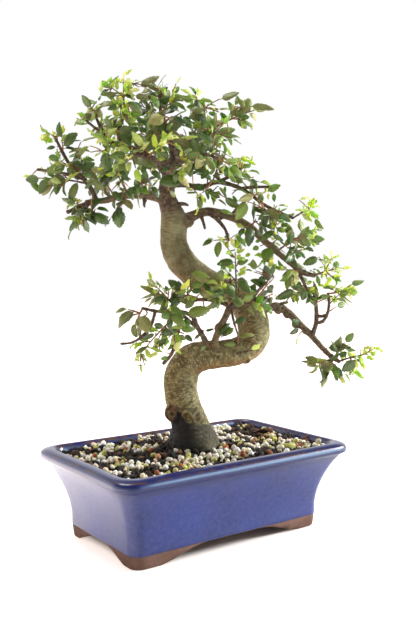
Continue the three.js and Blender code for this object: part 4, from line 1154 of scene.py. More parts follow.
# Name, limb it grows from, how far along, tone, where its shoots' foliage ends, and where the
# foliage of the finer shoots ends that the solids leave out
SPRAYS = [
    ("left_far", "l_up", 0.3, "mid", [(-124, -22, 267), (-108, -28, 254)], [(-107, -12, 278)]),
    ("left_top", "l_up", 1, "lime", [(-109, -14, 302)], [(-95, -6, 299)]),
    ("left_upper", "l_up", 0.58, "mid", [(-106, -26, 284), (-87, 0, 293)], [(-97, -28, 275), (-78, -4, 285)]),
    ("left_low", "left", 0.9, "dark", [(-93, -18, 227), (-67, -24, 237)], [(-81, -22, 233), (-93, -24, 250)]),
    ("left_end", "left", 1, "olive", [(-96, 4, 242)], []),
    ("left_mid", "left", 0.62, "dark", [(-77, -18, 275)], [(-66, -20, 277)]),
    ("left_back", "left", 0.55, "dark", [(-86, 36, 285)], [(-68, 34, 268)]),
    ("left_rise", "left", 0.4, "mid", [(-60, -32, 276)], [(-53, -32, 266)]),
    ("left_inner", "left", 0.2, "dark", [(-41, -32, 266), (-39, 22, 268)], [(-52, 20, 262)]),
    ("top_left_end", "top_left", 1, "mid", [(-78, -22, 323), (-84, -28, 305)], [(-70, -30, 312)]),
    ("top_left_lime", "top_left", 0.62, "lime", [(-66, -40, 289)], [(-71, -34, 297), (-54, -38, 284)]),
    ("top_left_back", "top_left", 0.75, "dark", [(-72, 2, 316)], [(-61, 6, 308)]),
    ("peak_left", "peak", 1, "lime", [(-53, -12, 345), (-68, -18, 337)], [(-45, -20, 330)]),
    ("peak_mid", "peak", 0.6, "lime", [(-52, -32, 316)], [(-41, -28, 313)]),
    ("apex_end", "apex", 1, "olive", [(-28, -6, 345), (-41, 4, 336)], []),
    ("apex_right", "apex", 0.75, "mid", [(-12, 0, 340)], [(-14, -10, 323)]),
    ("apex_left", "apex", 0.6, "dark", [(-39, -20, 323)], [(-35, -22, 309)]),
    ("apex_front", "apex", 0.35, "olive", [(-26, -34, 298)], [(-17, -30, 303), (-38, -30, 296)]),
    ("apex_back", "apex", 0.55, "dark", [(-25, 28, 331)], [(-14, 28, 317)]),
    ("leader_end", "leader", 1, "olive", [(56, 14, 326), (32, 4, 331)], [(42, 8, 312)]),
    ("leader_up", "leader", 0.85, "mid", [(-3, -4, 339)], [(8, -8, 326)]),
    ("leader_front", "leader", 0.7, "dark", [(17, -26, 300)], [(4, -22, 303)]),
    ("leader_right", "leader", 0.85, "mid", [(38, -6, 295)], [(33, -8, 303)]),
    ("leader_back", "leader", 0.65, "dark", [(10, 34, 320)], [(21, 34, 312)]),
    ("back_left_end", "back_left", 1, "dark", [(-60, 58, 327), (-36, 56, 335)], []),
    ("back_left_low", "back_left", 0.6, "dark", [(-60, 54, 300)], [(-45, 54, 294)]),
    ("back_right_end", "back_right", 1, "mid", [(22, 54, 324)], [(4, 54, 326)]),
    ("back_right_low", "back_right", 0.55, "dark", [(22, 52, 291)], [(3, 50, 287)]),
    ("front_left_end", "front_l", 1, "mid", [(-54, -48, 268)], [(-50, -44, 280), (-38, -50, 262)]),
    ("front_left_up", "front_l", 0.7, "lime", [(-10, -46, 294)], [(-23, -42, 288)]),
    ("front_right_mid", "front_r", 0.5, "dark", [(-4, -42, 266)], [(5, -40, 286), (-18, -42, 263)]),
    ("front_right_end", "front_r", 1, "mid", [(33, -40, 268)], [(24, -42, 285)]),
    ("right_up_start", "right_up", 0.25, "lime", [(6, -8, 249)], []),
    ("right_up_mid", "right_up", 0.5, "mid", [(51, 8, 278), (31, -6, 273)], [(59, 6, 265)]),
    ("right_up_end", "right_up", 1, "lime", [(94, -8, 249)], [(81, -14, 244)]),
    ("right_up_low", "right_up", 0.8, "dark", [(64, -20, 226)], [(49, -18, 239)]),
    ("arch_top", "arch", 0.5, "dark", [(48, -18, 243), (31, -14, 228)], []),
    ("arch_back", "arch", 0.6, "mid", [(77, 34, 246)], [(64, 26, 244)]),
    ("arch_mid", "arch", 0.7, "mid", [(100, 12, 236), (84, 24, 227)], [(96, -2, 224)]),
    ("arch_front", "arch", 0.75, "dark", [(87, -24, 218)], [(70, -16, 224)]),
    ("arch_end", "arch", 1, "lime", [(120, 6, 203), (109, -14, 188)], [(107, 4, 215), (96, -10, 206)]),
    ("arch_under", "arch", 0.88, "mid", [(53, -16, 200)], [(68, -16, 195)]),
    ("low_up_end", "low_up", 1, "dark", [(64, 4, 177), (84, 14, 194)], [(85, -4, 180)]),
    ("low_up2_end", "low_up2", 1, "mid", [(126, 4, 183)], [(108, -6, 190)]),
    ("low_end", "low", 1, "lime", [(142, 6, 137), (121, 2, 117)], [(128, 12, 130)]),
    ("low_tip_up", "low", 0.93, "dark", [(120, -2, 154)], [(105, -8, 143)]),
    ("low_tip_down", "low", 0.9, "dark", [(102, 8, 112), (82, -10, 129)], [(106, -4, 124)]),
    ("front_up", "front", 0.58, "lime", [(29, -18, 222)], [(17, -28, 205)]),
    ("front_right", "front", 0.8, "dark", [(66, -14, 203)], [(56, -20, 193)]),
    ("front_pad", "front", 0.5, "mid", [(13, -40, 196), (40, -42, 187)], [(26, -40, 182), (6, -38, 184)]),
    ("front_left", "front_arm", 1, "dark", [(-14, -36, 190)], [(-22, -40, 182), (0, -38, 192)]),
    ("vee_end", "vee", 1, "olive", [(-46, -42, 153), (-56, -38, 174)], [(-54, -44, 164)]),
    ("vee_up", "vee", 0.62, "mid", [(-34, -44, 196)], [(-11, -38, 190), (-22, -42, 180)]),
    ("vee_down", "vee", 0.6, "lime", [(-45, -40, 133)], [(-30, -38, 141), (-8, -42, 148)]),
    ("under", "under", 1, "mid", [(3, 0, 221), (39, 8, 222)], []),
]


def draws(seed):
    """The whole-number generator that the solids' leaves were drawn with."""
    state = seed

    def draw():
        nonlocal state
        state = state * 16807 % 2147483647
        return state / 2147483647
    return draw


def shoot_point(shoot, share):
    foot, middle, tip = shoot
    return foot * (1 - share) ** 2 + middle * (2 * share * (1 - share)) + tip * share ** 2


def shoot_run(shoot, share):
    foot, middle, tip = shoot
    return ((middle - foot) * (1 - share) + (tip - middle) * share).normalized()


def shoot_to(foot, end, leaf_length):
    """A shoot that rises a little, and stops a leaf's length short of where its foliage ends."""
    reach = (end - foot).length
    tip = foot.lerp(end, max(SHORTEST_SHOOT, 1 - (TIP_LEAF * leaf_length + STALK) / reach))
    middle = foot.lerp(tip, 0.5) + Vector((0, 0, SHOOT_ARCH * (tip - foot).length))
    return foot, middle, tip


def spray_shoots(limb, share, tone, ends):
    """The main shoot, which leaves the limb, and the side shoots, which leave the main one."""
    main = shoot_to(line_point(limb_places(LIMBS[limb]), share), at(*ends[0]), LEAF_LENGTHS[tone])
    start = shoot_point(main, SIDE_SHOOT_START)
    return [main] + [shoot_to(start, at(*end), LEAF_LENGTHS[tone]) for end in ends[1:]]


taken = []


def hold(owner, kind, spots, radius):
    centre = sum(spots, Vector()) / len(spots)
    span = max((spot - centre).length for spot in spots)
    taken.append((owner, kind, spots, radius, centre, span))


def leaf_spots(leaf):
    root, along, side, _, length = leaf
    width = length * LEAF_WIDTH
    return [root + along * (u * length) + side * (w * width / 2) for u in (0.17, 0.38, 0.58, 0.78, 0.97)
            for w in (-0.6, 0, 0.6)]


def is_clear(leaf, owner, room, own_room):
    """True if the leaf stands clear of the wood and the other sprays, and crosses no leaf of its own.

    Leaves of one spray may come close at the foot of their blades.
    """
    spots = leaf_spots(leaf)
    centre = spots[len(spots) // 2]
    for other, kind, others, radius, middle, span in taken:
        own = other == owner
        if own and kind == "shoot":
            continue
        least = radius + (own_room if own else room)
        if (centre - middle).length > leaf[4] * 0.6 + span + least:
            continue
        first = FOOT_SPOTS if own else 0
        if any((a - b).length < least for a in spots[first:] for b in others[first:]):
            return False
    return True


def try_leaf(shoot, share, hand, plane, size, owner, draw, room=LEAF_CLEARANCE, own_room=OWN_LEAF_CLEARANCE):
    """One leaf at a share of the shoot, on one side of it, bent until it stands clear, or None."""
    spread, tilt, droop, grow = draw(), draw(), draw(), draw()
    run = shoot_run(shoot, share)
    length = size * (0.85 + 0.3 * grow)
    for turn, bend in LEAF_BENDS:
        angle = LEAF_ANGLE + 0.3 * (spread - 0.5) + bend if hand else 0
        face = Matrix.Rotation(turn + 0.5 * (tilt - 0.5), 3, run) @ plane
        across = face.cross(run).normalized()
        along = run * math.cos(angle) + across * (hand * math.sin(angle))
        along.z -= LEAF_DROOP * droop
        along.normalize()
        face = (face - along * face.dot(along)).normalized()
        leaf = (shoot_point(shoot, share) + along * STALK, along, face.cross(along), face, length)
        if is_clear(leaf, owner, room, own_room):
            hold(owner, "leaf", leaf_spots(leaf), 0)
            return leaf
    return None


def outward_plane(shoot, draw):
    """The way a shoot's leaves turn their faces: up, and out from the middle of the crown."""
    plane = Vector((draw() - 0.5, draw() - 0.5, draw() - 0.5)) * 0.9
    away = shoot_point(shoot, 0.6) - at(*CROWN_HEART)
    plane += Vector((away.x, away.y, 0)).normalized() * 0.7
    plane.z += 0.55
    run = shoot_run(shoot, 0.5)
    return (plane - run * plane.dot(run)).normalized()


def dress_shoot(shoot, name, length, draw, room=LEAF_CLEARANCE, own_room=OWN_LEAF_CLEARANCE):
    """Leaves alternately left and right along a shoot, largest at its middle, with one at its tip."""
    plane = outward_plane(shoot, draw)
    reach = (shoot[2] - shoot[0]).length
    count = max(1, min(5, math.floor(reach / LEAF_STEP + 0.5)))
    last_share = max(FIRST_LEAF, min(0.88, 1 - LEAF_ROOM / reach))
    leaves = []
    for index in range(count + 1):
        last = index == count
        share = 1 if last else FIRST_LEAF + (last_share - FIRST_LEAF) * (index + 0.5) / (count - 0.5)
        swell = 0.8 + 0.25 * math.sin(math.pi * (index + 0.6) / (count + 0.4))
        hand = 0 if last else 1 if index % 2 == 0 else -1
        size = length * (TIP_LEAF if last else swell)
        leaf = try_leaf(shoot, share, hand, plane, size, name, draw, room, own_room)
        if leaf:
            leaves.append(leaf)
    return leaves


LEAF_LAYERS = ("along", "across", "below")


def leaf_layers(bm):
    """Where each point of a blade lies along and across it, and whether it is on the underside."""
    return [bm.verts.layers.float.new(name) for name in LEAF_LAYERS]


def blade_shape(name, fold, curl, cup, twist, wave, slim):
    """A leaf one unit long, from a short stalk to its tip: toothed edges, a fold at the rib, and a curl."""
    bm = bmesh.new()
    along_layer, across_layer, below_layer = leaf_layers(bm)
    bmesh.ops.create_grid(bm, x_segments=2, y_segments=BLADE_ROWS + 1, size=1)
    for vert in bm.verts:
        vert[along_layer] = (vert.co.y + 1) / 2 * (BLADE_ROWS + 1) - 1
        vert[across_layer] = vert.co.x
    copies = bmesh.ops.extrude_face_region(bm, geom=bm.faces[:], use_keep_orig=True)["geom"]
    for vert in copies:
        if isinstance(vert, bmesh.types.BMVert):
            vert[below_layer] = 1.0
    for vert in bm.verts:
        row, w = round(vert[along_layer]), vert[across_layer]
        u = row / BLADE_ROWS if row > 0 else 0.01 if row == 0 else -0.1
        half = max(0.05, u ** 0.6 * (1 - u) ** 0.85 / WIDEST_BLADE) if 0 < row < BLADE_ROWS else 0.04
        half *= LEAF_WIDTH / 2 * slim
        if abs(w) > 0.9 and 0 < row < BLADE_ROWS:
            tooth = row % 2
            half *= 1.04 if tooth else 0.95
            u += 0.025 if tooth else -0.008
        vert[along_layer] = u
        x = w * half
        lift = fold * abs(x) - cup * x * x + wave * abs(w) * half * math.sin(u * 11 + (2 if w > 0 else 0))
        lift -= BLADE_THICKNESS * vert[below_layer] * (1.6 if row < 1 else 1)
        angle = curl * max(0, u)
        reach, drop = u, 0
        if u >= 0 and abs(curl) > 0.01:
            reach, drop = math.sin(angle) / curl, (1 - math.cos(angle)) / curl
        lean = twist * u
        x, lift = x * math.cos(lean) - lift * math.sin(lean), x * math.sin(lean) + lift * math.cos(lean)
        vert.co = Vector((x, reach + lift * math.sin(angle), lift * math.cos(angle) - drop))
    bmesh.ops.recalc_face_normals(bm, faces=bm.faces)
    return mesh_from(name, bm)


LEAF_PAINTS = {
    "dark": [(54, 84, 34), (50, 70, 38), (72, 98, 42), (92, 110, 74), (66, 92, 38)],
    "mid": [(110, 138, 46), (138, 154, 62), (98, 116, 50), (130, 134, 72)],
    "olive": [(156, 144, 84), (134, 130, 74), (172, 160, 104), (122, 122, 70)],
    "lime": [(216, 242, 72), (230, 248, 100), (190, 226, 68), (242, 252, 140)],
}
NEIGHBOUR_TONES = {"dark": ["mid", "dark", "olive"], "mid": ["dark", "mid", "lime", "olive"],
                   "olive": ["dark", "mid", "olive"], "lime": ["mid", "lime"]}


def leaf_skin(tone, gloss, sheen, ageing):
    """Leaf surface: paler below, side veins that run forward from a pale rib, gloss by age."""
    material, tree, shader = new_material("leaf_" + tone)
    along, across, below = (attribute(tree, name) for name in LEAF_LAYERS)
    width = maths(tree, "ABSOLUTE", across, 0)
    rib = between(tree, width, 0.0, 0.13, 1, 0)
    slope = maths(tree, "SUBTRACT", times(tree, along, 9.0), times(tree, width, 2.2))
    ridge = maths(tree, "PINGPONG", slope, 0.5)
    vein = between(tree, ridge, 0.0, 0.12, 1, 0)
    tint = attribute(tree, "tint", "Color")
    aged, _ = grain(tree, on_surface(tree), 420, 0.35, 0.75, ageing, tint, paint(124, 118, 48))
    vein_share = times(tree, maths(tree, "MAXIMUM", rib, vein), 0.3)
    veined = blend_paint(tree, vein_share, aged, paint(176, 190, 110))
    under = blend_paint(tree, 0.5, veined, paint(134, 142, 104))
    pillow = maths(tree, "SUBTRACT", times(tree, ridge, 2.0), rib)
    finish(tree, shader, blend_paint(tree, below, veined, under), between(tree, below, 0, 1, gloss, 0.7),
           pillow, 0.35, 0.0003)
    shader.inputs["Subsurface Weight"].default_value = sheen
    shader.inputs["Subsurface Radius"].default_value = (0.4, 1.0, 0.2)
    shader.inputs["Subsurface Scale"].default_value = 0.0012
    return material


leaf_skins = {"dark": leaf_skin("dark", 0.3, 0.25, 0.35), "mid": leaf_skin("mid", 0.38, 0.35, 0.3),
              "olive": leaf_skin("olive", 0.45, 0.35, 0.4), "lime": leaf_skin("lime", 0.45, 0.5, 0.06)}

shoot_bark, tree, shader = new_material("shoot_bark")
tint = attribute(tree, "tint", "Color")
streaked, streak = grain(tree, on_surface(tree), 900, 0.42, 0.75, 0.6, tint, paint(60, 40, 30))
finish(tree, shader, streaked, 0.65, streak, 0.5, 0.0002)
SHOOT_PAINTS = [(170, 116, 78), (142, 100, 70), (186, 128, 84), (120, 88, 62)]
YOUNG_SHOOT = (140, 132, 62)

# Old blades: nearly flat, curled down, folded, cupped or twisted. Young ones: slim and crinkled.
old_blades = [blade_shape("blade", *form) for form in (
    (0.2, 0.4, 0.2, 0.15, 0.05, 0.98), (0.35, 0.9, 0.2, -0.3, 0.06, 0.9), (0.1, 0.1, 0.4, 0.3, 0.07, 1.12),
    (0.5, 0.6, 0.3, 0.1, 0.05, 0.82), (0.25, -0.35, 0.3, 0.4, 0.07, 1.0), (0.3, 1.3, 0.3, -0.5, 0.1, 0.92),
    (0.15, 0.5, 0.6, 0.1, 0.04, 1.3), (0.6, 1.0, 0.2, 0.5, 0.05, 0.78))]
young_blades = [blade_shape("young_blade", *form) for form in (
    (0.6, 0.5, 0.3, 0.1, 0.35, 0.8), (0.8, -0.4, 0.3, -0.2, 0.4, 0.7), (0.5, 0.9, 0.3, 0.3, 0.35, 0.9))]


def add_leaf(rng, bm, tint_layer, leaf, blade, colour, breadth=1.0, most_roll=LEAF_ROLL):
    """One blade on its stalk, rolled and nodding a little in its own way."""
    root, along, side, face, length = leaf
    roll = Matrix.Rotation(rng.gauss(0, most_roll), 3, along)
    side, face = roll @ side, roll @ face
    nod = Matrix.Rotation(rng.gauss(0, LEAF_NOD), 3, side)
    along, face = nod @ along, nod @ face
    blade_axes = Matrix((-side * breadth, along, face)).transposed() * length
    for vert in add_copy(bm, blade):
        vert.co = in_metres(root + blade_axes @ vert.co)
        vert[tint_layer] = colour


def add_shoot(bm, tint_layer, shoot, thick, thin, colour, tip_colour):
    """A thin jointed shoot, which swells a little where each leaf stands."""
    reach = (shoot[2] - shoot[0]).length
    foot = in_metres(shoot[0])
    steps = max(3, round(reach / 2.2))
    spots = [shoot_point(shoot, step / steps) for step in range(steps + 1)]
    radii = [(thick + (thin - thick) * step / steps) * (1.22 if step % 3 == 2 else 1)
             for step in range(steps + 1)]
    for vert in add_tube(bm, spots, radii, 6):
        share = min(1, (vert.co - foot).length / MM / reach)
        vert[tint_layer] = tuple(a + (b - a) * share ** 2 for a, b in zip(colour, tip_colour))
        for face in vert.link_faces:
            face.material_index = 1


for name, limb in LIMBS.items():
    places = limb_places(limb)
    steps = math.ceil(line_length(places) / 3)
    for step in range(steps + 1):
        hold(name, "wood", [line_point(places, step / steps)], radius_at(limb, step / steps))
shoots_of = {}
leaves_of = {}
for name, limb, share, tone, ends, _ in SPRAYS:
    shoots_of[name] = spray_shoots(limb, share, tone, ends)
    for shoot in shoots_of[name]:
        for step in range(2, 11):
            hold(name, "shoot", [shoot_point(shoot, step / 10)], SHOOT_RADIUS)
for order, (name, _, _, tone, _, _) in enumerate(SPRAYS):
    draw = draws(LEAF_SEED + 101 * order)
    leaves_of[name] = [leaf for shoot in shoots_of[name]
                       for leaf in dress_shoot(shoot, name, LEAF_LENGTHS[tone], draw)]

# Finer growth between the first leaves: more shoots, side twigs, leaves on every side, and a
# tuft of young leaves at the end of many shoots. Shoots are given with their radius at the foot.
GROWTH_SEED = 407
MAIN_SHOOT = 0.8
FINER_SHOOT = 0.62
INNER_SHOOT = 0.6
SIDE_TWIG = 0.5
SHOOT_TIP = 0.36
NEAR_LEAF = 2.2
NEAR_OWN_LEAF = 1.6
EXTRA_LEAVES = 1
SIDE_TWIG_SPACING = 24
SIDE_TWIG_LENGTHS = (14, 21)
TUFT_SHARE = {"dark": 0.4, "mid": 0.65, "olive": 0.4, "lime": 1.0}
TUFT_LENGTHS = (4.5, 9.0)
TUFT_LEAF = 1.2
OWN_TUFT_LEAF = 0.7
ODD_LEAF_SHARE = 0.35
LEAF_TINT_SPREAD = 0.14

# Spots on the wood and, as they grow, on the shoots, which an outermost twig can grow from
perches = [spots[0] for _, kind, spots, *_ in taken if kind == "wood"]
perches += [line_point(limb_places(twig), step / 6) for twig in TWIGS for step in range(7)]


def thicken(rng, name, tone, shoots, leaves):
    """Adds side twigs, leaves on every side and tufts of young leaves to a spray's shoots."""
    length = LEAF_LENGTHS[tone]
    for shoot, _ in list(shoots):
        reach = (shoot[2] - shoot[0]).length
        for _ in range(round(reach / SIDE_TWIG_SPACING)):
            start_share = rng.uniform(0.25, 0.9)
            run = shoot_run(shoot, start_share)
            jitter = Vector([rng.uniform(-1, 1) for _ in range(3)])
            out = (outward_plane(shoot, rng.random) + jitter).cross(run).normalized() * rng.choice((-1, 1))
            start = shoot_point(shoot, start_share)
            end = start + (run * 0.75 + out * 0.8).normalized() * rng.uniform(*SIDE_TWIG_LENGTHS)
            twig = shoot_to(start, end, length * 0.75)
            size = length * rng.uniform(0.55, 0.95)
            new = dress_shoot(twig, name, size, rng.random, NEAR_LEAF, NEAR_OWN_LEAF)
            if new:
                leaves += [(leaf, False) for leaf in new]
                shoots.append((twig, SIDE_TWIG))
        for _ in range(EXTRA_LEAVES):
            share = rng.uniform(0.15, 1.0)
            turn = Matrix.Rotation(rng.uniform(-1.2, 1.2), 3, shoot_run(shoot, share))
            leaf = try_leaf(shoot, share, rng.choice((-1, 1)), turn @ outward_plane(shoot, rng.random),
                            length * rng.uniform(0.45, 0.95), name, rng.random, NEAR_LEAF, NEAR_OWN_LEAF)
            if leaf:
                leaves.append((leaf, False))
        if rng.random() < TUFT_SHARE[tone]:
            plane = outward_plane(shoot, rng.random)
            for index in range(rng.randint(2, 5)):
                turn = Matrix.Rotation(index * 2.1 + rng.uniform(-0.4, 0.4), 3, shoot_run(shoot, 1))
                leaf = try_leaf(shoot, 1 - 0.04 * index, rng.choice((-1, 1)), turn @ plane,
                                rng.uniform(*TUFT_LENGTHS), name, rng.random, TUFT_LEAF, OWN_TUFT_LEAF)
                if leaf:
                    leaves.append((leaf, True))


def new_foliage():
    """An empty piece for leaves and shoots, with the layers that their materials read."""
    bm = bmesh.new()
    tint_layer = bm.verts.layers.float_color.new("tint")
    leaf_layers(bm)
    return bm, tint_layer


def grow_spray(rng, name, tone, shoots, leaves):
    """The finished piece: each leaf a copy of one of the blades with its own colour, and each shoot."""
    bm, tint_layer = new_foliage()
    for leaf, young in leaves:
        kind = "lime" if young or tone == "lime" and leaf[4] < 9 else tone
        if not young and rng.random() < ODD_LEAF_SHARE:
            kind = rng.choice(NEIGHBOUR_TONES[tone])
        colour = shade(rng, rng.choice(LEAF_PAINTS[kind]), LEAF_TINT_SPREAD)
        blade = rng.choice(young_blades if kind == "lime" else old_blades)
        add_leaf(rng, bm, tint_layer, leaf, blade, colour)
    for shoot, thick in shoots:
        perches.extend(shoot_point(shoot, step / 8) for step in range(2, 9))
        old = shade(rng, rng.choice(SHOOT_PAINTS))
        tip = paint(*YOUNG_SHOOT) if tone == "lime" else old
        add_shoot(bm, tint_layer, shoot, thick, SHOOT_TIP, old, tip)
    return from_bmesh(name, bm, leaf_skins[tone], shoot_bark)


# Openings in the crown, as the viewer sees them, that no finer growth fills: pixels to the right
# and down in the view, and their radius
VIEW_MIDDLE = (208, 312)
VIEW_REACH = 776
OPENING_DEPTHS = range(-54, 60, 6)
OPENING_SIZE = 0.76
OPENINGS = [
    (232, 132, 8), (233, 148, 8), (230, 159, 4), (126, 316, 9), (124, 304, 6), (266, 282, 8), (276, 288, 6),
    (216, 248, 6), (249, 237, 6), (82, 192, 6), (45, 190, 5), (322, 306, 6), (251, 172, 6), (259, 178, 5),
    (240, 186, 4), (305, 306, 6), (342, 262, 7), (348, 275, 6), (335, 283, 5), (36, 170, 4), (286, 300, 5),
    (151, 319, 4), (84, 108, 6),
]


def seen(x, y, back):
    """The place that far back in the tree which the viewer sees at a pixel of the view."""
    ray = camera.rotation_euler.to_matrix() @ Vector((x - VIEW_MIDDLE[0], VIEW_MIDDLE[1] - y, -VIEW_REACH))
    eye, behind = CAMERA_PLACE / MM, at(0, 1, 0)
    return eye + ray * (back - eye.dot(behind)) / ray.dot(behind)


for x, y, radius in OPENINGS:
    for back in OPENING_DEPTHS:
        hold("opening", "opening", [seen(x, y, back)], radius * OPENING_SIZE - NEAR_LEAF)

rng = random.Random(GROWTH_SEED)
for name, _, _, tone, _, finer_ends in SPRAYS:
    length = LEAF_LENGTHS[tone]
    shoots = [(shoot, MAIN_SHOOT) for shoot in shoots_of[name]]
    leaves = [(leaf[:4] + (leaf[4] * rng.uniform(0.76, 1.04),), False) for leaf in leaves_of[name]]
    main = shoots_of[name][0]
    for end in finer_ends:
        shoot = shoot_to(shoot_point(main, SIDE_SHOOT_START), at(*end), length * 0.9)
        new = dress_shoot(shoot, name, length * 0.95, rng.random, NEAR_LEAF, NEAR_OWN_LEAF)
        leaves += [(leaf, False) for leaf in new]
        shoots.append((shoot, FINER_SHOOT))
    thicken(rng, name, tone, shoots, leaves)
    stand_for(grow_spray(rng, "leaves_" + name, tone, shoots, leaves), "leaf_" + tone, "spray_" + name)

# Inner shoots: short leafy shoots along the limbs, which fill the crown between the sprays. For
# each piece its tone, and for each of its limbs the stretch that bears shoots and their number.
INNER_SHOOTS = [
    ("crown_left", "dark", [("left", 0.15, 1.0, 6), ("l_up", 0.1, 0.9, 4)]),
    ("crown_top_left", "mid", [("top_left", 0.12, 0.95, 8), ("peak", 0.1, 0.9, 3)]),
    ("crown_top", "dark", [("apex", 0.1, 0.95, 7), ("leader", 0.15, 0.95, 9)]),
    ("crown_back", "dark", [("back_left", 0.2, 0.95, 7), ("back_right", 0.2, 0.95, 7)]),
    ("crown_front", "mid", [("front_l", 0.2, 0.95, 6), ("front_r", 0.2, 0.95, 6)]),
    ("arch_side", "mid", [("right_up", 0.3, 0.95, 6), ("arch", 0.5, 0.97, 6)]),
    ("low_side", "mid", [("low_up", 0.4, 0.95, 3), ("low_up2", 0.4, 0.95, 2), ("low", 0.88, 0.98, 2)]),
    ("front_side", "mid", [("front", 0.55, 0.97, 4), ("front_arm", 0.2, 0.9, 3), ("vee", 0.6, 0.95, 3)]),
]
INNER_LENGTHS = (17, 28)

for name, tone, stretches in INNER_SHOOTS:
    shoots, leaves = [], []
    length = LEAF_LENGTHS[tone]
    for limb, low, high, count in stretches:
        places = limb_places(LIMBS[limb])
        for index in range(count):
            share = low + (high - low) * (index + rng.random()) / count
            start = line_point(places, share)
            run = (line_point(places, min(1, share + 0.02)) - line_point(places, share - 0.02)).normalized()
            away = start - at(*CROWN_HEART)
            way = away.normalized() * 0.5 + Vector((0, 0, 0.45)) + run * 0.3
            way = (way + Vector([rng.gauss(0, 0.6) for _ in range(3)])).normalized()
            shoot = shoot_to(start, start + way * rng.uniform(*INNER_LENGTHS), length)
            size = length * rng.uniform(0.65, 1.0)
            new = dress_shoot(shoot, name, size, rng.random, NEAR_LEAF, NEAR_OWN_LEAF)
            if new:
                leaves += [(leaf, False) for leaf in new]
                shoots.append((shoot, INNER_SHOOT))
    thicken(rng, name, tone, shoots, leaves)
    stand_for(grow_spray(rng, "leaves_" + name, tone, shoots, leaves), "leaf_" + tone)

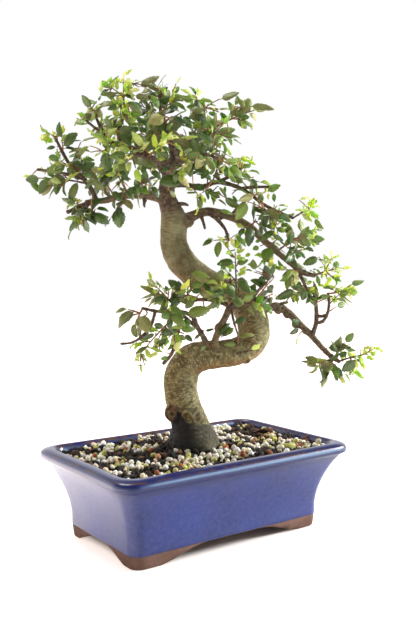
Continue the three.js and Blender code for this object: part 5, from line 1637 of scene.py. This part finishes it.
# Outermost leaves: the ones that stand out on the side towards the viewer, each on a twig from the
# nearest shoot. How far back, then the pixels right and down in the view of the stalk's foot and of
# the tip, and the breadth.
OUTER_LEAVES = {
    "dark": [
        (-34, 183, 183, 160, 179, 1.25), (-30, 107, 151, 107, 169, 1.2), (-24, 93, 215, 108, 222, 1.1),
        (-24, 84, 218, 86, 229, 1.4), (-22, 95, 209, 108, 208, 0.9), (-42, 165, 326, 154, 326, 1.3),
        (-26, 235, 262, 219, 263, 1), (-44, 238, 280, 248, 293, 1.1), (-20, 261, 274, 263, 285, 1.3),
        (-8, 295, 289, 278, 300, 0.85), (-8, 306, 289, 302, 299, 1.15), (-8, 291, 280, 301, 286, 1),
        (8, 324, 365, 325, 378, 1.2), (4, 327, 348, 347, 347, 0.9), (6, 336, 365, 344, 381, 0.7),
        (0, 356, 360, 344, 371, 1.2), (-10, 280, 214, 289, 221, 1), (-14, 63, 148, 78, 150, 1),
        (-16, 167, 108, 177, 107, 1.3), (-18, 215, 139, 226, 139, 1), (-34, 121, 132, 130, 145, 0.9),
        (-26, 138, 182, 139, 193, 1.5), (-36, 233, 324, 245, 318, 0.9), (-20, 261, 192, 261, 204, 1),
        (-24, 232, 162, 238, 172, 1), (-40, 186, 292, 178, 300, 1.1), (-30, 150, 186, 160, 193, 1),
        (-26, 118, 170, 128, 180, 1), (-24, 172, 116, 184, 124, 1), (-44, 226, 290, 214, 297, 1.1),
        (-18, 110, 90, 101, 92, 0.9), (-18, 108, 96, 120, 97, 0.45), (-18, 97, 101, 102, 97, 0.8),
        (-24, 121, 104, 110, 110, 0.9), (-20, 103, 106, 112, 103, 0.5), (-14, 147, 84, 155, 85, 0.9),
        (-16, 148, 96, 157, 91, 0.5), (-18, 123, 95, 133, 96, 0.7), (-18, 141, 103, 148, 100, 0.8),
        (-14, 153, 98, 158, 106, 0.55), (-18, 145, 109, 158, 108, 0.5), (-14, 157, 98, 167, 108, 0.5),
        (-24, 126, 101, 133, 107, 1.2), (-2, 236, 117, 248, 116, 0.8), (-8, 219, 112, 227, 118, 0.85),
        (-6, 226, 117, 233, 117, 0.9), (-14, 193, 114, 206, 123, 1), (-12, 207, 112, 215, 115, 0.9),
        (-14, 199, 122, 207, 124, 1), (-12, 208, 122, 213, 129, 0.8), (-22, 197, 132, 203, 137, 1.1),
        (-14, 200, 130, 208, 134, 0.5), (-28, 206, 149, 218, 151, 1), (-24, 209, 168, 202, 177, 1.2),
        (-28, 186, 174, 201, 175, 1.1), (-20, 212, 181, 206, 175, 1), (-10, 231, 168, 250, 181, 0.5),
        (-10, 223, 164, 227, 174, 1.1), (0, 213, 176, 226, 183, 0.4), (4, 225, 185, 225, 191, 0.7),
        (2, 211, 196, 215, 203, 0.8), (-6, 253, 207, 260, 212, 1), (0, 258, 221, 264, 225, 0.8),
        (-12, 287, 248, 297, 251, 0.9), (-14, 287, 254, 297, 267, 0.6), (-30, 236, 278, 248, 286, 1.2),
        (-30, 225, 283, 237, 292, 1.1), (-42, 156, 333, 143, 339, 0.75), (-42, 168, 338, 154, 349, 0.65),
        (-40, 169, 316, 170, 328, 1.1), (-42, 162, 335, 176, 330, 0.9), (-38, 184, 334, 191, 340, 1),
        (-42, 175, 344, 169, 349, 0.8), (-38, 169, 292, 166, 288, 1.3), (-34, 203, 282, 210, 293, 0.9),
        (-34, 201, 293, 209, 297, 1), (-24, 194, 340, 199, 335, 0.7), (-28, 204, 331, 213, 330, 0.7),
        (-16, 57, 147, 48, 147, 0.8), (-18, 63, 185, 57, 190, 1), (-18, 76, 168, 75, 156, 0.8),
        (-18, 66, 167, 71, 173, 1.1), (-16, 80, 157, 85, 164, 0.4), (-22, 91, 198, 89, 192, 0.6),
        (6, 300, 325, 293, 320, 1.2), (6, 300, 329, 291, 333, 1.1),
        (-22, 150, 170, 160, 178, 1.1), (-22, 146, 178, 152, 184, 1), (-24, 128, 186, 134, 192, 1.1),
        (-22, 160, 176, 165, 184, 1), (-24, 112, 190, 120, 199, 1), (-24, 126, 189, 133, 197, 1),
        (-24, 182, 116, 190, 124, 1.2), (-26, 180, 134, 188, 140, 1.1), (-26, 193, 184, 204, 192, 1.1),
        (-30, 222, 338, 229, 324, 1), (-30, 218, 336, 226, 322, 0.6), (-24, 152, 171, 148, 163, 1.1),
    ],
    "mid": [
        (-20, 78, 181, 69, 201, 0.7), (-44, 165, 309, 181, 316, 1.25), (-44, 186, 314, 209, 309, 0.9),
        (-42, 179, 329, 194, 329, 1), (-46, 255, 294, 243, 300, 1.1), (-28, 207, 345, 201, 350, 1),
        (-14, 274, 231, 262, 240, 1), (-14, 272, 247, 264, 258, 1.4), (0, 266, 191, 279, 186, 1),
        (0, 273, 192, 276, 201, 0.8), (-12, 319, 257, 306, 264, 1), (-24, 248, 202, 236, 218, 1),
        (-20, 104, 87, 120, 81, 0.75), (-24, 127, 122, 142, 128, 0.75), (-12, 198, 101, 212, 98, 0.7),
        (-30, 141, 155, 157, 166, 0.6), (-40, 158, 146, 168, 156, 1), (-16, 84, 100, 96, 106, 0.9),
        (-34, 190, 318, 183, 328, 1.1), (-6, 331, 275, 340, 281, 0.8), (-20, 150, 95, 160, 103, 1),
        (-30, 215, 118, 204, 126, 1), (-24, 103, 123, 117, 125, 0.7), (0, 240, 120, 254, 126, 0.4),
        (-8, 212, 140, 215, 146, 0.8), (-6, 220, 150, 232, 158, 0.3), (-6, 217, 154, 227, 159, 0.45),
        (-4, 229, 175, 235, 181, 0.9), (0, 208, 181, 217, 181, 0.6), (-2, 218, 186, 227, 197, 0.55),
        (-2, 208, 191, 219, 197, 0.8), (-6, 224, 197, 238, 208, 0.85), (-6, 232, 194, 236, 201, 0.9),
        (-8, 238, 201, 252, 195, 0.8), (-4, 219, 210, 232, 213, 0.65), (-4, 248, 193, 234, 188, 0.4),
        (-6, 257, 208, 271, 217, 0.8), (0, 277, 206, 289, 203, 0.3), (-24, 235, 235, 245, 245, 0.75),
        (-22, 256, 271, 252, 261, 1.2), (-22, 254, 272, 247, 270, 1), (-16, 266, 271, 271, 270, 0.5),
        (-14, 271, 269, 279, 267, 0.5), (-12, 278, 268, 287, 267, 0.5), (-28, 243, 292, 255, 293, 0.9),
        (-12, 260, 246, 254, 249, 1.3), (-10, 262, 241, 256, 241, 1.2), (-8, 271, 243, 287, 251, 0.25),
        (-4, 278, 239, 287, 248, 0.3), (-40, 177, 335, 184, 339, 1.2), (-38, 177, 298, 193, 304, 0.8),
        (-36, 186, 295, 191, 289, 0.7), (-36, 190, 273, 208, 277, 0.8), (-38, 192, 288, 204, 283, 0.9),
        (-32, 204, 308, 212, 302, 0.4), (-20, 30, 179, 38, 189, 0.8), (-16, 64, 143, 79, 140, 0.25),
        (-16, 81, 142, 93, 135, 0.5), (-18, 90, 124, 76, 123, 0.25), (-24, 80, 199, 69, 204, 0.35),
        (-24, 77, 219, 75, 229, 0.5), (-42, 145, 366, 139, 365, 0.4),
        (-26, 139, 163, 144, 177, 0.8), (-20, 90, 146, 79, 150, 0.8), (-30, 226, 336, 232, 328, 1.2),
        (-32, 170, 357, 162, 359, 0.8), (8, 344, 372, 350, 382, 0.7),
    ],
    "olive": [
        (-16, 54, 180, 39, 192, 1.5), (-12, 139, 87, 158, 77, 0.75), (-40, 200, 152, 201, 168, 1.4),
        (-40, 147, 313, 130, 337, 0.55), (-40, 149, 346, 137, 353, 0.7), (-36, 162, 294, 141, 290, 0.45),
        (-36, 165, 296, 146, 303, 0.7), (-44, 221, 268, 221, 280, 1.5), (-20, 259, 268, 249, 263, 1.2),
        (-36, 238, 338, 253, 334, 0.8), (-36, 238, 344, 225, 345, 0.7), (-30, 245, 307, 253, 313, 0.45),
        (4, 319, 363, 303, 362, 0.35), (0, 314, 218, 323, 228, 0.8), (-22, 255, 195, 239, 201, 0.8),
        (-12, 99, 110, 87, 120, 0.8), (-16, 178, 96, 191, 100, 0.7), (-6, 220, 99, 238, 94, 0.85),
        (4, 250, 106, 273, 109, 0.6), (-22, 205, 113, 191, 108, 1), (-28, 90, 179, 103, 188, 0.9),
        (-30, 165, 116, 150, 123, 1.3), (-36, 176, 172, 188, 186, 0.7), (-20, 74, 228, 66, 237, 0.35),
        (-34, 128, 104, 140, 112, 0.9), (-18, 121, 93, 102, 95, 0.35), (-18, 127, 112, 134, 116, 1.2),
        (-14, 134, 95, 147, 99, 1), (-12, 134, 86, 126, 93, 0.9), (-12, 123, 87, 141, 80, 0.45),
        (-12, 146, 86, 160, 90, 0.5), (-16, 148, 98, 157, 108, 0.9), (0, 245, 109, 238, 98, 0.9),
        (2, 248, 110, 232, 113, 0.9), (-6, 218, 110, 229, 105, 0.25), (-6, 218, 109, 227, 109, 0.4),
        (-10, 205, 105, 215, 105, 0.5), (-10, 202, 144, 209, 144, 0.7), (-2, 217, 199, 225, 203, 0.5),
        (-6, 255, 192, 264, 195, 0.9), (-16, 65, 177, 61, 186, 0.9), (-18, 90, 168, 100, 171, 0.9),
        (-38, 154, 297, 145, 300, 0.5), (-38, 194, 276, 207, 282, 0.8),
        (-22, 118, 186, 124, 192, 0.8), (-20, 92, 152, 68, 146, 0.3), (-24, 168, 190, 176, 196, 0.8),
    ],
    "lime": [
        (-26, 235, 250, 231, 238, 0.8), (-26, 235, 250, 240, 239, 0.8), (-26, 234, 258, 246, 259, 0.7),
        (0, 299, 200, 310, 196, 0.6), (0, 310, 212, 318, 215, 0.7), (0, 341, 291, 357, 287, 0.4),
        (8, 361, 348, 372, 347, 0.6), (8, 371, 347, 383, 352, 0.5), (6, 359, 355, 364, 369, 0.6),
        (4, 354, 366, 356, 377, 0.8), (-10, 290, 274, 283, 278, 0.7), (-10, 316, 286, 310, 290, 1),
        (-10, 316, 285, 324, 286, 0.8), (-4, 334, 267, 343, 272, 0.5), (-10, 124, 76, 131, 70, 0.8),
        (-10, 101, 94, 101, 80, 0.7), (-10, 103, 87, 111, 79, 0.7), (-20, 124, 108, 113, 100, 0.8),
        (-20, 127, 120, 138, 113, 0.6), (-16, 99, 109, 87, 108, 0.5), (-16, 101, 126, 103, 115, 0.8),
        (-16, 96, 134, 88, 129, 0.7), (-36, 132, 151, 113, 145, 0.7), (-36, 126, 146, 118, 152, 0.9),
        (-36, 139, 154, 148, 143, 0.6), (-30, 177, 140, 197, 137, 0.5), (-30, 160, 145, 171, 137, 0.7),
        (-36, 178, 158, 192, 161, 0.6), (-36, 180, 158, 183, 150, 0.9), (-30, 167, 160, 158, 158, 0.9),
        (-14, 55, 140, 41, 137, 0.7), (-14, 55, 153, 49, 161, 0.7), (-14, 45, 174, 40, 167, 0.8),
        (-14, 32, 175, 24, 177, 0.8), (-20, 80, 171, 68, 185, 0.5), (-12, 176, 84, 181, 79, 0.8),
        (-16, 166, 97, 162, 88, 0.9), (-12, 192, 95, 183, 89, 0.7), (-10, 195, 191, 187, 189, 0.7),
        (-10, 202, 193, 203, 201, 0.6), (-14, 232, 157, 227, 148, 0.5), (-36, 250, 350, 259, 345, 1.3),
        (-38, 152, 283, 149, 273, 0.7), (-38, 156, 286, 145, 286, 0.6), (-42, 180, 291, 188, 279, 1.1),
        (-40, 175, 352, 182, 342, 1.3), (-40, 160, 352, 149, 356, 0.7), (-40, 141, 361, 134, 360, 0.7),
        (-40, 140, 362, 141, 371, 0.7), (-14, 238, 272, 245, 268, 0.8), (-20, 114, 120, 122, 116, 0.8),
        (-8, 218, 112, 212, 109, 0.7), (-12, 205, 111, 200, 103, 0.35), (-4, 239, 158, 251, 159, 0.3),
        (-6, 238, 158, 255, 164, 0.5), (0, 268, 192, 269, 199, 0.9), (-24, 232, 255, 228, 253, 0.7),
        (-24, 237, 276, 243, 272, 0.8), (-40, 176, 348, 180, 353, 0.9), (-40, 165, 353, 148, 348, 0.5),
        (-38, 177, 296, 185, 290, 0.6), (-14, 55, 142, 46, 141, 0.8), (-14, 55, 138, 53, 132, 0.6),
        (-14, 60, 144, 62, 140, 1), (-14, 57, 164, 49, 171, 0.5), (-14, 60, 163, 65, 160, 0.6),
        (-16, 54, 176, 49, 175, 1.2), (0, 298, 336, 295, 344, 0.5),
        (-26, 151, 181, 158, 180, 0.5), (8, 350, 366, 362, 378, 0.7), (8, 340, 374, 344, 384, 0.8),
        (-26, 96, 170, 104, 168, 0.6), (-26, 150, 172, 156, 168, 0.6), (-20, 108, 140, 100, 136, 0.6),
    ],
}
OUTER_FACE = (0, -1, 0.35)
OUTER_ROLL = 0.25
OUTER_BLADES = 5
LOOSEST_TWIG = 1.2
OUTER_TWIG_ARCH = 0.08
OUTER_TWIG = 0.5
OUTER_TWIG_TIP = 0.32

for tone, rows in OUTER_LEAVES.items():
    bm, tint_layer = new_foliage()
    blades = young_blades if tone == "lime" else old_blades[:OUTER_BLADES]
    for back, foot_x, foot_y, tip_x, tip_y, breadth in rows:
        root = seen(foot_x, foot_y, back)
        along = seen(tip_x, tip_y, back + rng.uniform(-4, 2)) - root
        length = along.length
        along.normalize()
        face = at(*OUTER_FACE) + Vector([rng.gauss(0, 0.3) for _ in range(3)])
        face = (face - along * face.dot(along)).normalized()
        colour = shade(rng, rng.choice(LEAF_PAINTS[tone]), LEAF_TINT_SPREAD)
        leaf = (root + along * STALK, along, face.cross(along), face, length)
        add_leaf(rng, bm, tint_layer, leaf, rng.choice(blades), colour, breadth, OUTER_ROLL)
        perch = min(perches, key=lambda spot: (spot - root).length)
        if (perch - root).length > LOOSEST_TWIG:
            middle = perch.lerp(root, 0.5) + Vector((0, 0, OUTER_TWIG_ARCH * (root - perch).length))
            old = shade(rng, rng.choice(SHOOT_PAINTS))
            tip = paint(*YOUNG_SHOOT) if tone == "lime" else old
            add_shoot(bm, tint_layer, (perch, middle, root), OUTER_TWIG, OUTER_TWIG_TIP, old, tip)
    outer = from_bmesh("outer_leaves_" + tone, bm, leaf_skins[tone], shoot_bark)
    stand_for(outer, "leaf_" + tone)
